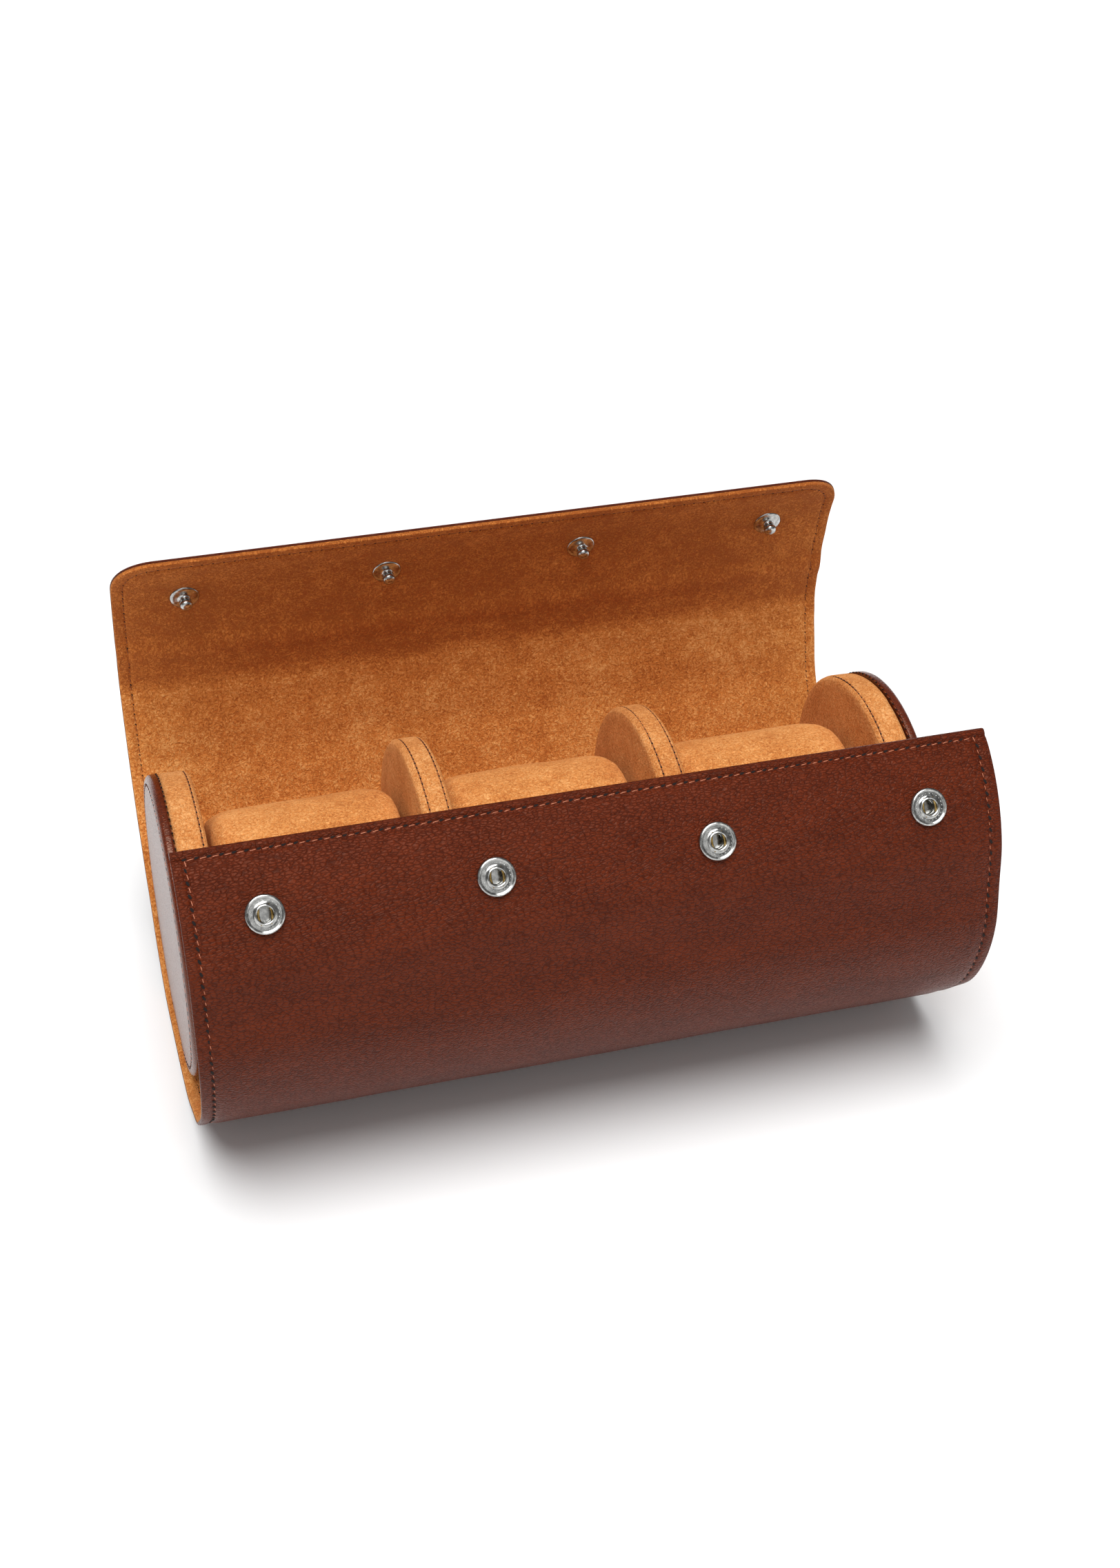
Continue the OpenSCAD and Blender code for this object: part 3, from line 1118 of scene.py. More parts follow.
FINISHES = (
    Leather("hide", True),
    Leather("hide_disc", False, roughness=0.24, shine=0.6, relief=0.06),
    Suede(
        "suede_flap",
        True,
        srgb(168, 88, 34),
        srgb(212, 128, 58),
        srgb(244, 176, 104),
        tab_painted_shade=0.34,
    ),
    Suede(
        "suede_divider",
        False,
        srgb(176, 98, 44),
        srgb(218, 140, 74),
        srgb(244, 180, 116),
    ),
    Suede(
        "suede_pillow",
        False,
        srgb(180, 100, 44),
        srgb(220, 142, 74),
        srgb(246, 180, 112),
        patch=0.5,
    ),
    Plain("board_grey", srgb(120, 104, 84), srgb(164, 146, 120), 0.85, 1500.0, 0.05),
    Plain("thread_tan", srgb(150, 80, 54), srgb(204, 128, 94), 0.6, 4000.0, 0.05),
    Plain("thread_dark", srgb(104, 50, 20), srgb(146, 78, 38), 0.7, 4000.0, 0.05),
    # painted shadow: a near-black flat oval stands for the shade inside each needle hole
    Plain("needle_hole_shadow", srgb(12, 5, 4), srgb(26, 12, 8), 0.95, 3000.0, 0.02),
    PlatedMetal("plated_nickel", srgb(150, 150, 148), srgb(206, 206, 203), 0.16),
    PlatedMetal("plated_brass", srgb(150, 118, 62), srgb(206, 176, 112), 0.24),
)


# --- Geometry node trees -------------------------------------------------------------


class NodeTool:
    """A geometry node tree with named inputs that turns one mesh into another."""

    def __init__(self, name: str, inputs: dict[str, tuple[str, object]]) -> None:
        """Starts the tree.

        Args:
            name: The tree's name.
            inputs: Input names with their socket types and usual values.
        """
        self.tree = bpy.data.node_groups.new(name, "GeometryNodeTree")
        new_socket = self.tree.interface.new_socket
        new_socket(
            name="Geometry", in_out="OUTPUT", socket_type="NodeSocketGeometry"
        )
        new_socket(name="Geometry", in_out="INPUT", socket_type="NodeSocketGeometry")
        self.identifiers: dict[str, str] = {}
        for key, (kind, value) in inputs.items():
            socket = new_socket(name=key, in_out="INPUT", socket_type=kind)
            if value is not None:
                socket.default_value = value
            self.identifiers[key] = socket.identifier
        self.source = self.tree.nodes.new("NodeGroupInput")
        self.result = self.tree.nodes.new("NodeGroupOutput")

    def node(self, kind: str, links: dict, **values: object) -> bpy.types.Node:
        """Adds a node; see add_node."""
        return add_node(self.tree, kind, links, **values)

    def given(self, key: str) -> bpy.types.NodeSocket:
        """One of the tree's inputs."""
        return self.source.outputs[key]

    def finish(self, geometry: bpy.types.NodeSocket) -> None:
        """Links the tree's result."""
        self.tree.links.new(geometry, self.result.inputs["Geometry"])

    def run(self, piece: bpy.types.Object, **inputs: object) -> bpy.types.Object:
        """Runs the tree on an object and keeps the result as its plain mesh.

        Args:
            piece: The object.
            inputs: Values for the named inputs, with _ for a space.

        Returns:
            The same object with its new mesh.
        """
        modifier = piece.modifiers.new("work", "NODES")
        modifier.node_group = self.tree
        for key, value in inputs.items():
            modifier[self.identifiers[key.replace("_", " ")]] = value
        keep_result(piece)
        return piece


class StitchTool(NodeTool):
    """Sets a sunk thread and its needle hole's painted shadow at each point, turned as the
    point says.
    """

    def __init__(self) -> None:
        """Builds the tree."""
        number = "NodeSocketFloat"
        super().__init__(
            "stitch_row",
            {
                "Stitch Length": (number, 2.5 * MM),
                "Thread Radius": (number, 0.17 * MM),
                "Rise": (number, 0.2 * MM),
                "Slant": (number, 0.16),
                "Aside": (number, 0.0),
                "Hole Length": (number, 0.62 * MM),
                "Hole Width": (number, 0.3 * MM),
                "Thread": ("NodeSocketMaterial", None),
                # Hole: the material of the painted shadow in each needle hole
                "Hole": ("NodeSocketMaterial", None),
            },
        )
        turn = self.node(
            "GeometryNodeInputNamedAttribute", {"Name": "turn"}, data_type="FLOAT_VECTOR"
        )
        aim = self.node(
            "FunctionNodeEulerToRotation", {0: turn.outputs["Attribute"]}
        ).outputs[0]
        thread = self.placed(self.thread(), aim, 0.0, "Thread")
        # the needle hole is a flat oval of painted shadow, not a cut
        hole = self.placed(self.hole(), aim, 0.5, "Hole")
        joined = self.node("GeometryNodeJoinGeometry", {})
        for part in (thread, hole):
            self.tree.links.new(part, joined.inputs[0])
        self.finish(joined.outputs[0])

    def times(self, socket: bpy.types.NodeSocket, factor: float) -> bpy.types.NodeSocket:
        """A number input times a factor."""
        return self.node(
            "ShaderNodeMath", {0: socket, 1: factor}, operation="MULTIPLY"
        ).outputs[0]

    def vector(self, **parts: object) -> bpy.types.NodeSocket:
        """A vector from its X, Y and Z."""
        return self.node("ShaderNodeCombineXYZ", parts).outputs[0]

    def thread(self) -> bpy.types.NodeSocket:
        """One stitch: a bowed round cord along X, its ends sunk."""
        length, rise = self.given("Stitch Length"), self.given("Rise")
        sunk, aside = self.times(rise, -1.3), self.given("Aside")
        curve = self.node(
            "GeometryNodeCurveQuadraticBezier",
            {
                "Resolution": 6,
                "Start": self.vector(X=self.times(length, -0.5), Y=aside, Z=sunk),
                "Middle": self.vector(Y=aside, Z=self.times(rise, 2.0)),
                "End": self.vector(X=self.times(length, 0.5), Y=aside, Z=sunk),
            },
        )
        ring = self.node(
            "GeometryNodeCurvePrimitiveCircle",
            {"Resolution": 6, "Radius": self.given("Thread Radius")},
            mode="RADIUS",
        )
        cord = self.node(
            "GeometryNodeCurveToMesh",
            {0: curve.outputs[0], 1: ring.outputs[0], "Fill Caps": True},
        )
        smooth_cord = self.node("GeometryNodeSetShadeSmooth", {0: cord.outputs[0]})
        return self.slanted(smooth_cord.outputs[0], 1.0)

    def hole(self) -> bpy.types.NodeSocket:
        """One needle hole's painted shadow: a small, dark flat oval."""
        disc = self.node(
            "GeometryNodeMeshCylinder",
            {"Vertices": 10, "Radius": 1.0, "Depth": 0.36 * MM},
        )
        size = self.vector(
            X=self.given("Hole Length"), Y=self.given("Hole Width"), Z=1.0
        )
        oval = self.node(
            "GeometryNodeTransform", {"Geometry": disc.outputs["Mesh"], "Scale": size}
        )
        return self.slanted(oval.outputs[0], 3.0)

    def slanted(
        self, geometry: bpy.types.NodeSocket, factor: float
    ) -> bpy.types.NodeSocket:
        """Turns a part by the slant times a factor, in the plane of the seam."""
        angle = self.times(self.given("Slant"), factor)
        return self.node(
            "GeometryNodeTransform",
            {"Geometry": geometry, "Rotation": self.vector(Z=angle)},
        ).outputs[0]

    def placed(
        self,
        geometry: bpy.types.NodeSocket,
        aim: bpy.types.NodeSocket,
        shift: float,
        material: str,
    ) -> bpy.types.NodeSocket:
        """Sets a part on every point, realized and with its material.

        Args:
            geometry: The part.
            aim: The rotation at each point.
            shift: How far along the seam it sits, in stitch lengths.
            material: The material input's name.

        Returns:
            The geometry.
        """
        if shift:
            along = self.vector(X=self.times(self.given("Stitch Length"), shift * 1.26))
            geometry = self.node(
                "GeometryNodeTransform", {"Geometry": geometry, "Translation": along}
            ).outputs[0]
        points = self.node("GeometryNodeMeshToPoints", {0: self.given("Geometry")})
        scattered = self.node(
            "GeometryNodeInstanceOnPoints",
            {"Points": points.outputs[0], "Instance": geometry, "Rotation": aim},
        )
        real = self.node("GeometryNodeRealizeInstances", {0: scattered.outputs[0]})
        return self.node(
            "GeometryNodeSetMaterial",
            {"Geometry": real.outputs[0], "Material": self.given(material)},
        ).outputs[0]


class BeadTool(NodeTool):
    """Sets a small raised bead at each point."""

    def __init__(self) -> None:
        """Builds the tree."""
        super().__init__(
            "bead_ring",
            {
                "Bead Radius": ("NodeSocketFloat", 0.2 * MM),
                "Metal": ("NodeSocketMaterial", None),
            },
        )
        bead = self.node(
            "GeometryNodeMeshIcoSphere",
            {"Radius": self.given("Bead Radius"), "Subdivisions": 2},
        )
        smooth_bead = self.node("GeometryNodeSetShadeSmooth", {0: bead.outputs[0]})
        points = self.node("GeometryNodeMeshToPoints", {0: self.given("Geometry")})
        scattered = self.node(
            "GeometryNodeInstanceOnPoints",
            {"Points": points.outputs[0], "Instance": smooth_bead.outputs[0]},
        )
        real = self.node("GeometryNodeRealizeInstances", {0: scattered.outputs[0]})
        metal = self.node(
            "GeometryNodeSetMaterial",
            {"Geometry": real.outputs[0], "Material": self.given("Metal")},
        )
        self.finish(metal.outputs[0])


# --- The workshop: what every sub-assembly shares -------------------------------------


def snap_x(number: int) -> float:
    """A snap's place along the roll, counted from 0 at the left."""
    return (number - (SIZES.snaps - 1) / 2) * SIZES.snap_pitch


class Workshop:
    """The materials, tools and wrap line that the sub-assemblies share."""

    def __init__(self) -> None:
        """Mixes the finishes and lays out the wrap's line."""
        effects = Effects()
        self.finishes = {f.name: f.build(effects) for f in FINISHES}
        self.stitches = StitchTool()
        self.beads = BeadTool()
        self.line = WrapLine()
        self.socket_laid = -self.line.front.laid_at(SIZES.socket_angle)
        self.stud_laid = self.line.back.laid_at(SIZES.stud_angle)

    def dress(self, piece: bpy.types.Object, *names: str) -> bpy.types.Object:
        """Gives a piece its finishes, in slot order."""
        piece.data.materials.clear()
        for name in names:
            piece.data.materials.append(self.finishes[name])
        return piece

    def at_snaps(
        self, points: Array, faces: list[tuple[int, ...]], laid: float
    ) -> tuple[Array, list[tuple[int, ...]]]:
        """Copies a part to each of the four snaps.

        Args:
            points: Rows of (across, along, height over the suede side).
            faces: The part's faces.
            laid: The snaps' laid length.

        Returns:
            The points and faces of all the copies.
        """
        spot = np.array([laid])
        foot = self.line.at(spot, np.array([0.0]))[0]
        n, t = self.line.normal(spot)[0], self.line.along(spot)[0]
        placed, every = [], []
        for i in range(SIZES.snaps):
            x = snap_x(i) + points[:, 0]
            section = foot + points[:, 1:2] * t + points[:, 2:3] * n
            placed.append(np.column_stack([x, section]))
            every += [tuple(v + i * len(points) for v in face) for face in faces]
        return np.concatenate(placed), every

    def stitch_row(
        self,
        name: str,
        points: Array,
        tangents: Array,
        normals: Array,
        thread: str,
        **sizes: float,
    ) -> bpy.types.Object:
        """A row of stitches as one mesh.

        Args:
            name: The piece's name.
            points: The stitches' middles in millimetres.
            tangents: The seam's direction at each.
            normals: The direction out of the material at each.
            thread: The thread's finish.
            sizes: Values for the stitch tool's inputs, in millimetres or radians.

        Returns:
            The piece.
        """
        turns = []
        for t, n in zip(tangents, normals):
            z = Vector(n).normalized()
            x = (Vector(t) - z * Vector(t).dot(z)).normalized()
            m = Matrix((x, z.cross(x), z)).transposed()
            turns.append(tuple(m.to_euler()))
        mesh = bpy.data.meshes.new(name)
        mesh.from_pydata((np.asarray(points) * MM).tolist(), [], [])
        attribute = mesh.attributes.new("turn", "FLOAT_VECTOR", "POINT")
        attribute.data.foreach_set("vector", np.asarray(turns, np.float32).ravel())
        piece = linked(name, mesh)
        metric = {k: v if k == "Slant" else v * MM for k, v in sizes.items()}
        return self.stitches.run(
            piece,
            Thread=self.finishes[thread],
            Hole=self.finishes["needle_hole_shadow"],
            **metric,
        )


def ride_and_name(piece: bpy.types.Object, body: str, slot: str, *nodes: str) -> None:
    """Makes a piece ride on a body, and replaces CAD nodes.

    Args:
        piece: The piece.
        body: The body that it moves with.
        slot: The record's material slot; not used.
        nodes: The CAD nodes that it stands for, if any.
    """
    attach(piece, body)
    if nodes:
        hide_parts(*nodes)
    LOG.info("%s rides on %s", piece.name, body)


# --- The wrap ------------------------------------------------------------------------


class Layer(Enum):
    """A layer of the wrap, from the inside out."""

    LINING = "lining"
    BOARD = "board"
    LEATHER = "leather"


@dataclass(frozen=True)
class Strip:
    """A length of the wrap between two laid lengths, and what it rides on."""

    node: str
    start: float
    end: float
    fold: Fold | None
    half: HalfSection | None


@dataclass
class Wrap:
    """The leather, board and suede that fold round the dividers, with their seams."""

    shop: Workshop
    board_inset: float = 5.2
    bore_r: float = 2.55
    lining_inset: float = 0.1
    row_step: float = 1.45
    column_step: float = 1.6
    meeting_row: float = 0.2
    layer_gap: float = 0.04
    edge_swell: float = 0.12
    pattern_depth: float = 1.5
    arris_r: float = 0.45
    pinch: float = 0.34
    groove: float = 0.3
    swell: float = 0.14
    edge_steps: tuple[float, ...] = (
        0.0, 0.07, 0.22, 0.45, 0.8, 1.25, 1.65, 1.95, 2.2, 2.4, 2.6, 2.8, 3.05, 3.4,
        3.75, 4.1, 4.6, 5.3, 6.3, 7.6,
    )
    strips: list[Strip] = field(default_factory=list)

    def build(self) -> None:
        """Makes every strip of every layer, and the stitches."""
        self.cut()
        for strip in self.strips:
            for layer in Layer:
                if strip.node != "crease" or layer is not Layer.BOARD:
                    self.attach(self.make(strip, layer), strip, layer)
        self.sew()

    def cut(self) -> None:
        """Divides the wrap into a rigid base and one strip for each fold."""
        front, back = self.shop.line.front, self.shop.line.back
        fronts = [front.laid_at(a) for a in FRONT_SPLITS] + [float(front.laid[-1])]
        backs = [back.laid_at(a) for a in BACK_SPLITS] + [float(back.laid[-1])]
        self.strips.append(Strip("base", -fronts[0], backs[0], None, None))
        for k, fold in enumerate(FRONT_FOLDS):
            name = f"front_{k + 1}"
            self.strips.append(Strip(name, -fronts[k + 1], -fronts[k], fold, front))
        names = ("flap_1", "flap_2", "flap_3", "flap_4", "crease", "tab_1", "tab_2")
        for k, (name, fold) in enumerate(zip(names, BACK_FOLDS)):
            self.strips.append(Strip(name, backs[k], backs[k + 1], fold, back))

    # Shape

    def rows(self, strip: Strip, inset: float) -> Array:
        """Laid lengths of a strip's rows, with thin rows where it meets the next.

        Args:
            strip: The strip.
            inset: How far the layer stops short of a free edge.

        Returns:
            Laid lengths, rising.
        """
        start, end = strip.start, strip.end
        if strip.node == "front_5":
            first = max(start, self.shop.line.lip + inset)
            steps = [first + e for e in self.edge_steps if first + e > start + 0.01]
            if inset < SIZES.lip_r:
                steps = [start] + [s for s in steps if s > start + 0.05]
            head = np.array(steps)
        else:
            head = np.array([start, start + self.meeting_row])
        if strip.node == "tab_2":
            tau = np.radians(np.linspace(0, 90, 15))
            last = end - inset
            corner = (SIZES.corner_r - inset) * (1 - np.cos(tau))
            steps = np.concatenate([corner, self.edge_steps])
            tail = np.unique(np.round(last - steps, 4))
            tail = tail[np.concatenate([[True], np.diff(tail) > 0.03])]
            tail[-1] = last
        else:
            tail = np.array([end - self.meeting_row, end])
        low, high = head[-1], tail[0]
        count = max(2, round((high - low) / self.row_step) + 1)
        middle = np.linspace(low, high, count)[1:-1]
        return np.concatenate([head, middle, tail])

    def columns(self) -> Array:
        """Distances in from the left edge, and from the right, as shares of the width."""
        steps = np.array(self.edge_steps)
        span = SIZES.length - 2 * steps[-1]
        count = round(span / self.column_step)
        middle = steps[-1] + span * np.arange(1, count) / count
        return np.concatenate([steps, middle, SIZES.length - steps[::-1]])

    def half_width(self, laid: Array, inset: float) -> Array:
        """Half of a layer's width at laid lengths, with the tab's corners rounded."""
        r = SIZES.corner_r - inset
        u = np.clip(self.shop.line.tip - inset - laid, 0.0, r)
        return SIZES.half - inset - r + np.sqrt(np.maximum(r * r - (r - u) ** 2, 0.0))

    def across(self, laid: Array, inset: float) -> Array:
        """Places along the roll of every vertex of every row.

        Args:
            laid: The rows' laid lengths.
            inset: How far the layer stops short of a free edge.

        Returns:
            Grid (rows, columns).
        """
        half = self.half_width(laid, inset)[:, None]
        share = self.columns()[None, :]
        left, right = share, SIZES.length - share
        near = self.edge_steps[-1]
        inner = half - near
        x = np.where(left <= near, -half + left, 0.0)
        x = np.where(right <= near, half - right, x)
        t = (share - near) / (SIZES.length - 2 * near) * 2 - 1
        return np.where((left > near) & (right > near), inner * t, x)

    def rim(self, x: Array, laid: Array, inset: float) -> Array:
        """Distance from each place to the layer's free edge."""
        line = self.shop.line
        r = SIZES.corner_r - inset
        side = SIZES.half - inset - np.abs(x)
        u = line.tip - inset - laid
        v = laid - (line.lip + inset)
        corner = r - np.hypot(np.maximum(r - side, 0.0), np.maximum(r - u, 0.0))
        e = np.where((side < r) & (u < r), corner, np.minimum(side, u))
        return np.maximum(np.minimum(e, v), 0.0)

    def hollow(self, rim: Array, laid: Array) -> Array:
        """How far a face sinks: pinched edge, seam groove and rounded arris.

        Args:
            rim: Distance to the free edge.
            laid: Laid lengths.

        Returns:
            Depths in millimetres, positive into the material.
        """
        t = np.clip(1 - rim / self.arris_r, 0.0, 1.0)
        arris = self.arris_r * (1 - np.sqrt(np.maximum(1 - t * t, 0.0)))
        pinch = self.pinch * (1 - smooth((rim - 2.4) / 4.2))
        groove = self.groove * np.exp(-(((rim - SIZES.seam_inset) / 0.5) ** 2))
        swell = -self.swell * np.exp(-(((rim - 1.7) / 0.9) ** 2))
        return arris + pinch + groove + swell + self.lip_valley(laid)

    def lip_valley(self, laid: Array) -> Array:
        """The valley that the lip's seam pulls in behind the rolled edge, as depths."""
        away = laid - self.shop.line.lip - SIZES.lip_seam
        deep = 0.5 * np.exp(-((away / 0.42) ** 2))
        return deep + 0.16 * np.exp(-(((away - 1.0) / 1.3) ** 2))

    def dents(self, x: Array, laid: Array, radius: float, depth: float) -> Array:
        """The hollows that the snaps press.

        Args:
            x: Places along the roll.
            laid: Laid lengths.
            radius: How wide a hollow is.
            depth: How deep it is.

        Returns:
            Depths in millimetres.
        """
        total = np.zeros(np.broadcast(x, laid).shape)
        for row in (self.shop.socket_laid, self.shop.stud_laid):
            for i in range(SIZES.snaps):
                d = np.hypot(x - snap_x(i), laid - row)
                total += depth * np.exp(-((d / radius) ** 4))
        return total

    def make(self, strip: Strip, layer: Layer) -> bpy.types.Object:
        """One strip of one layer as a closed mesh.

        Args:
            strip: The strip.
            layer: The layer.

        Returns:
            The piece.
        """
        inset = {
            Layer.LEATHER: 0.0,
            Layer.BOARD: self.board_inset,
            Layer.LINING: self.lining_inset,
        }[layer]
        laid = self.rows(strip, inset)
        x = self.across(laid, inset)
        rim = self.rim(x, laid[:, None], inset)
        s = laid[:, None]
        wall = self.shop.line.wall_at(laid)[:, None]
        tab = (SIZES.wall - wall) / (SIZES.wall - SIZES.tab_wall)
        lining_t = SIZES.lining_t - SIZES.tab_thinner * tab
        board_t = SIZES.board_t - SIZES.tab_thinner * tab
        edge = 1 - smooth((rim - self.board_inset + 1.2) / 1.6)
        wave = 0.1 * ripple(x, s, 5, 46.0) + 0.05 * ripple(x, s, 6, 17.0)
        calm = smooth(rim / 9.0)
        if layer is Layer.LEATHER:
            top = wall - self.hollow(rim, s) - self.dents(x, s, 6.4, 0.16)
            top = top + wave * calm
            bottom = lining_t + board_t * (1 + self.edge_swell * edge)
        elif layer is Layer.BOARD:
            top = lining_t + board_t - self.layer_gap
            bottom = lining_t + self.layer_gap
        else:
            top = lining_t + board_t * 1.08 * edge
            sink = self.hollow(rim, s) + self.dents(x, s, 5.6, 0.14)
            bottom = sink + 0.07 * ripple(x, s, 8, 9.0) * calm
        outer = self.lay_out(x, laid, top)
        inner = self.lay_out(x, laid, bottom)
        if layer is Layer.LEATHER and strip.node == "front_5":
            outer, inner, x, laid, rim = self.roll_lip(outer, inner, x, laid, rim)
        points, faces = shell(outer, inner)
        depth = np.repeat((0.0, self.pattern_depth), x.size)
        flat_laid = np.repeat(laid, x.shape[1])
        on_cut = np.stack([np.tile(x.ravel(), 2), np.tile(flat_laid, 2), depth], 1)
        piece = make_piece(
            f"{strip.node}_{layer.value}_skin",
            points,
            faces,
            laid=on_cut,
            rim=np.tile(rim.ravel(), 2),
        )
        if strip.node == "front_5" and layer is not Layer.LINING:
            self.bore(piece, self.bore_r)
        return piece

    def bore(self, piece: bpy.types.Object, radius: float) -> None:
        """Punches the holes for the sockets through a layer of the front panel.

        Args:
            piece: The layer.
            radius: The holes' radius.
        """
        sides, low, high = 24, 0.9, 4.0
        a = np.arange(sides) * 2 * math.pi / sides
        ring = np.stack([radius * np.cos(a), radius * np.sin(a)], 1)
        ends = [np.column_stack([ring, np.full(sides, h)]) for h in (low, high)]
        faces = [tuple(range(sides - 1, -1, -1)), tuple(range(sides, 2 * sides))]
        for k in range(sides):
            m = (k + 1) % sides
            faces.append((k, m, sides + m, sides + k))
        points, every = self.shop.at_snaps(
            np.concatenate(ends), faces, self.shop.socket_laid
        )
        cutter = make_piece("snap_punch", points, every)
        punch = piece.modifiers.new("punch", "BOOLEAN")
        punch.operation, punch.object, punch.solver = "DIFFERENCE", cutter, "EXACT"
        keep_result(piece)
        bpy.data.objects.remove(cutter)
        shade(piece.data, 50.0)

    def lay_out(self, x: Array, laid: Array, depth: Array) -> Array:
        """Places a grid in space from its laid lengths and depths."""
        section = self.shop.line.at(np.repeat(laid[:, None], x.shape[1], 1), depth)
        return np.concatenate([x[..., None], section], -1)

    def roll_lip(
        self, outer: Array, inner: Array, x: Array, laid: Array, rim: Array
    ) -> tuple[Array, Array, Array, Array, Array]:
        """Rolls the front panel's leather over its edge as a full round lip.

        Args:
            outer: The leather's outer grid, whose first row is at the lip.
            inner: Its inner grid.
            x: Places along the roll.
            laid: Laid lengths of the rows.
            rim: Distances to the free edge.

        Returns:
            The same five with the lip's rows put first.
        """
        line = self.shop.line
        first = np.array([laid[0]])
        centre = line.at(first, np.array([SIZES.lip_r]))[0]
        n, t = line.normal(first)[0], -line.along(first)[0]
        top_r = np.linalg.norm(outer[0, :, 1:] - centre, axis=1)
        tops, bottoms, spots = [], [], []
        for tau in np.radians(np.linspace(176, 12, 14)):
            r = top_r + (SIZES.lip_r - top_r) * math.sin(tau / 2)
            way = math.cos(tau) * n + math.sin(tau) * t
            tops.append(np.column_stack([x[0], centre + r[:, None] * way]))
            start = (inner[0, :, 1:] - centre) @ n
            level = start + (-0.92 * SIZES.lip_r - start) * tau / math.pi
            bottoms.append(np.column_stack([x[0], centre + level[:, None] * n]))
            spots.append(laid[0] - SIZES.lip_r * tau)
        side = SIZES.half - np.abs(x[0])
        lip_rim = np.minimum(side, 2.5)
        count = len(tops)
        return (
            np.concatenate([np.array(tops), outer]),
            np.concatenate([np.array(bottoms), inner]),
            np.concatenate([np.repeat(x[:1], count, 0), x]),
            np.concatenate([spots, laid]),
            np.concatenate([np.repeat(lip_rim[None], count, 0), rim]),
        )

    def attach(self, piece: bpy.types.Object, strip: Strip, layer: Layer) -> None:
        """Dresses a strip, lets it ride on the base or bakes its transform, and replaces
        its CAD node.
        """
        finish = {
            Layer.LEATHER: "hide",
            Layer.BOARD: "board_grey",
            Layer.LINING: "suede_flap",
        }[layer]
        self.shop.dress(piece, finish)
        self.bend(piece, strip)
        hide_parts(f"{strip.node}_{layer.value}")

    def bend(self, piece: bpy.types.Object, strip: Strip) -> None:
        """Lets a piece ride on the base, or, if its strip has a fold, bakes its transform
        into its mesh.
        """
        if strip.fold is None:
            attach(piece, "base")
            LOG.info("%s rides on base", piece.name)
            return
        start, end = strip.half.ends(strip.fold)
        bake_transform(piece)

    # Seams

    def seam(self) -> Array:
        """The seam's line round the whole wrap on the flat-cut material.

        Returns:
            Rows of (across, laid), close together.
        """
        line, inset = self.shop.line, SIZES.seam_inset
        w, low, high = SIZES.half - inset, line.lip + SIZES.lip_seam, line.tip - inset
        r = SIZES.corner_r - inset
        tau = np.radians(np.linspace(0, 90, 24))
        side, front = 600, 500
        left = np.stack([np.full(side, -w), np.linspace(low, high - r, side)], 1)
        turn = np.stack([-w + r - r * np.cos(tau), high - r + r * np.sin(tau)], 1)
        half = np.concatenate([left, turn[1:]])
        other = half[::-1] * (-1, 1)
        lip = np.stack([np.linspace(w, -w, front), np.full(front, low)], 1)
        return np.concatenate([half, other, lip[1:]])

    def sew(self) -> None:
        """Sews both faces of the wrap along its seam, strip by strip."""
        path = self.seam()
        steps = np.linalg.norm(np.diff(path, axis=0), axis=1)
        length = np.concatenate([[0.0], np.cumsum(steps)])
        count = round(length[-1] / SIZES.stitch_pitch)
        spots = (np.arange(count) + 0.5) * length[-1] / count
        places = np.stack([np.interp(spots, length, path[:, i]) for i in (0, 1)], 1)
        ahead = np.stack(
            [np.interp(spots + 0.3, length, path[:, i]) for i in (0, 1)], 1
        )
        ways = ahead - places
        for strip in self.strips:
            inside = (places[:, 1] >= strip.start) & (places[:, 1] < strip.end)
            if inside.any():
                self.sew_strip(strip, places[inside], ways[inside])

    def sew_strip(self, strip: Strip, places: Array, ways: Array) -> None:
        """Sews one strip on both faces.

        Args:
            strip: The strip.
            places: The stitches' (across, laid).
            ways: The seam's direction at each.
        """
        line = self.shop.line
        n2, t2 = line.normal(places[:, 1]), line.along(places[:, 1])
        normals = np.concatenate([np.zeros((len(n2), 1)), n2], 1)
        tangents = np.concatenate([ways[:, :1], ways[:, 1:] * t2], 1)
        e = self.rim(places[:, 0], places[:, 1], 0.0)
        sink = self.hollow(e, places[:, 1])
        wall = line.wall_at(places[:, 1])
        bold = {
            "Thread_Radius": 0.15,
            "Stitch_Length": 2.3,
            "Aside": 0.3,
            "Hole_Length": 0.74,
            "Hole_Width": 0.36,
        }
        faint = {
            "Thread_Radius": 0.12,
            "Rise": 0.1,
            "Hole_Length": 0.34,
            "Hole_Width": 0.15,
        }
        for face, depth, out, thread, sizes in (
            ("outside", wall - sink, 1.0, "thread_tan", bold),
            ("inside", sink, -1.0, "thread_dark", faint),
        ):
            spots = line.at(places[:, 1], depth)
            points = np.concatenate([places[:, :1], spots], 1)
            row = self.shop.stitch_row(
                f"{strip.node}_stitches_{face}",
                points,
                tangents,
                out * normals,
                thread,
                **sizes,
            )
            self.bend(row, strip)


# --- Dividers and end faces ------------------------------------------------------------


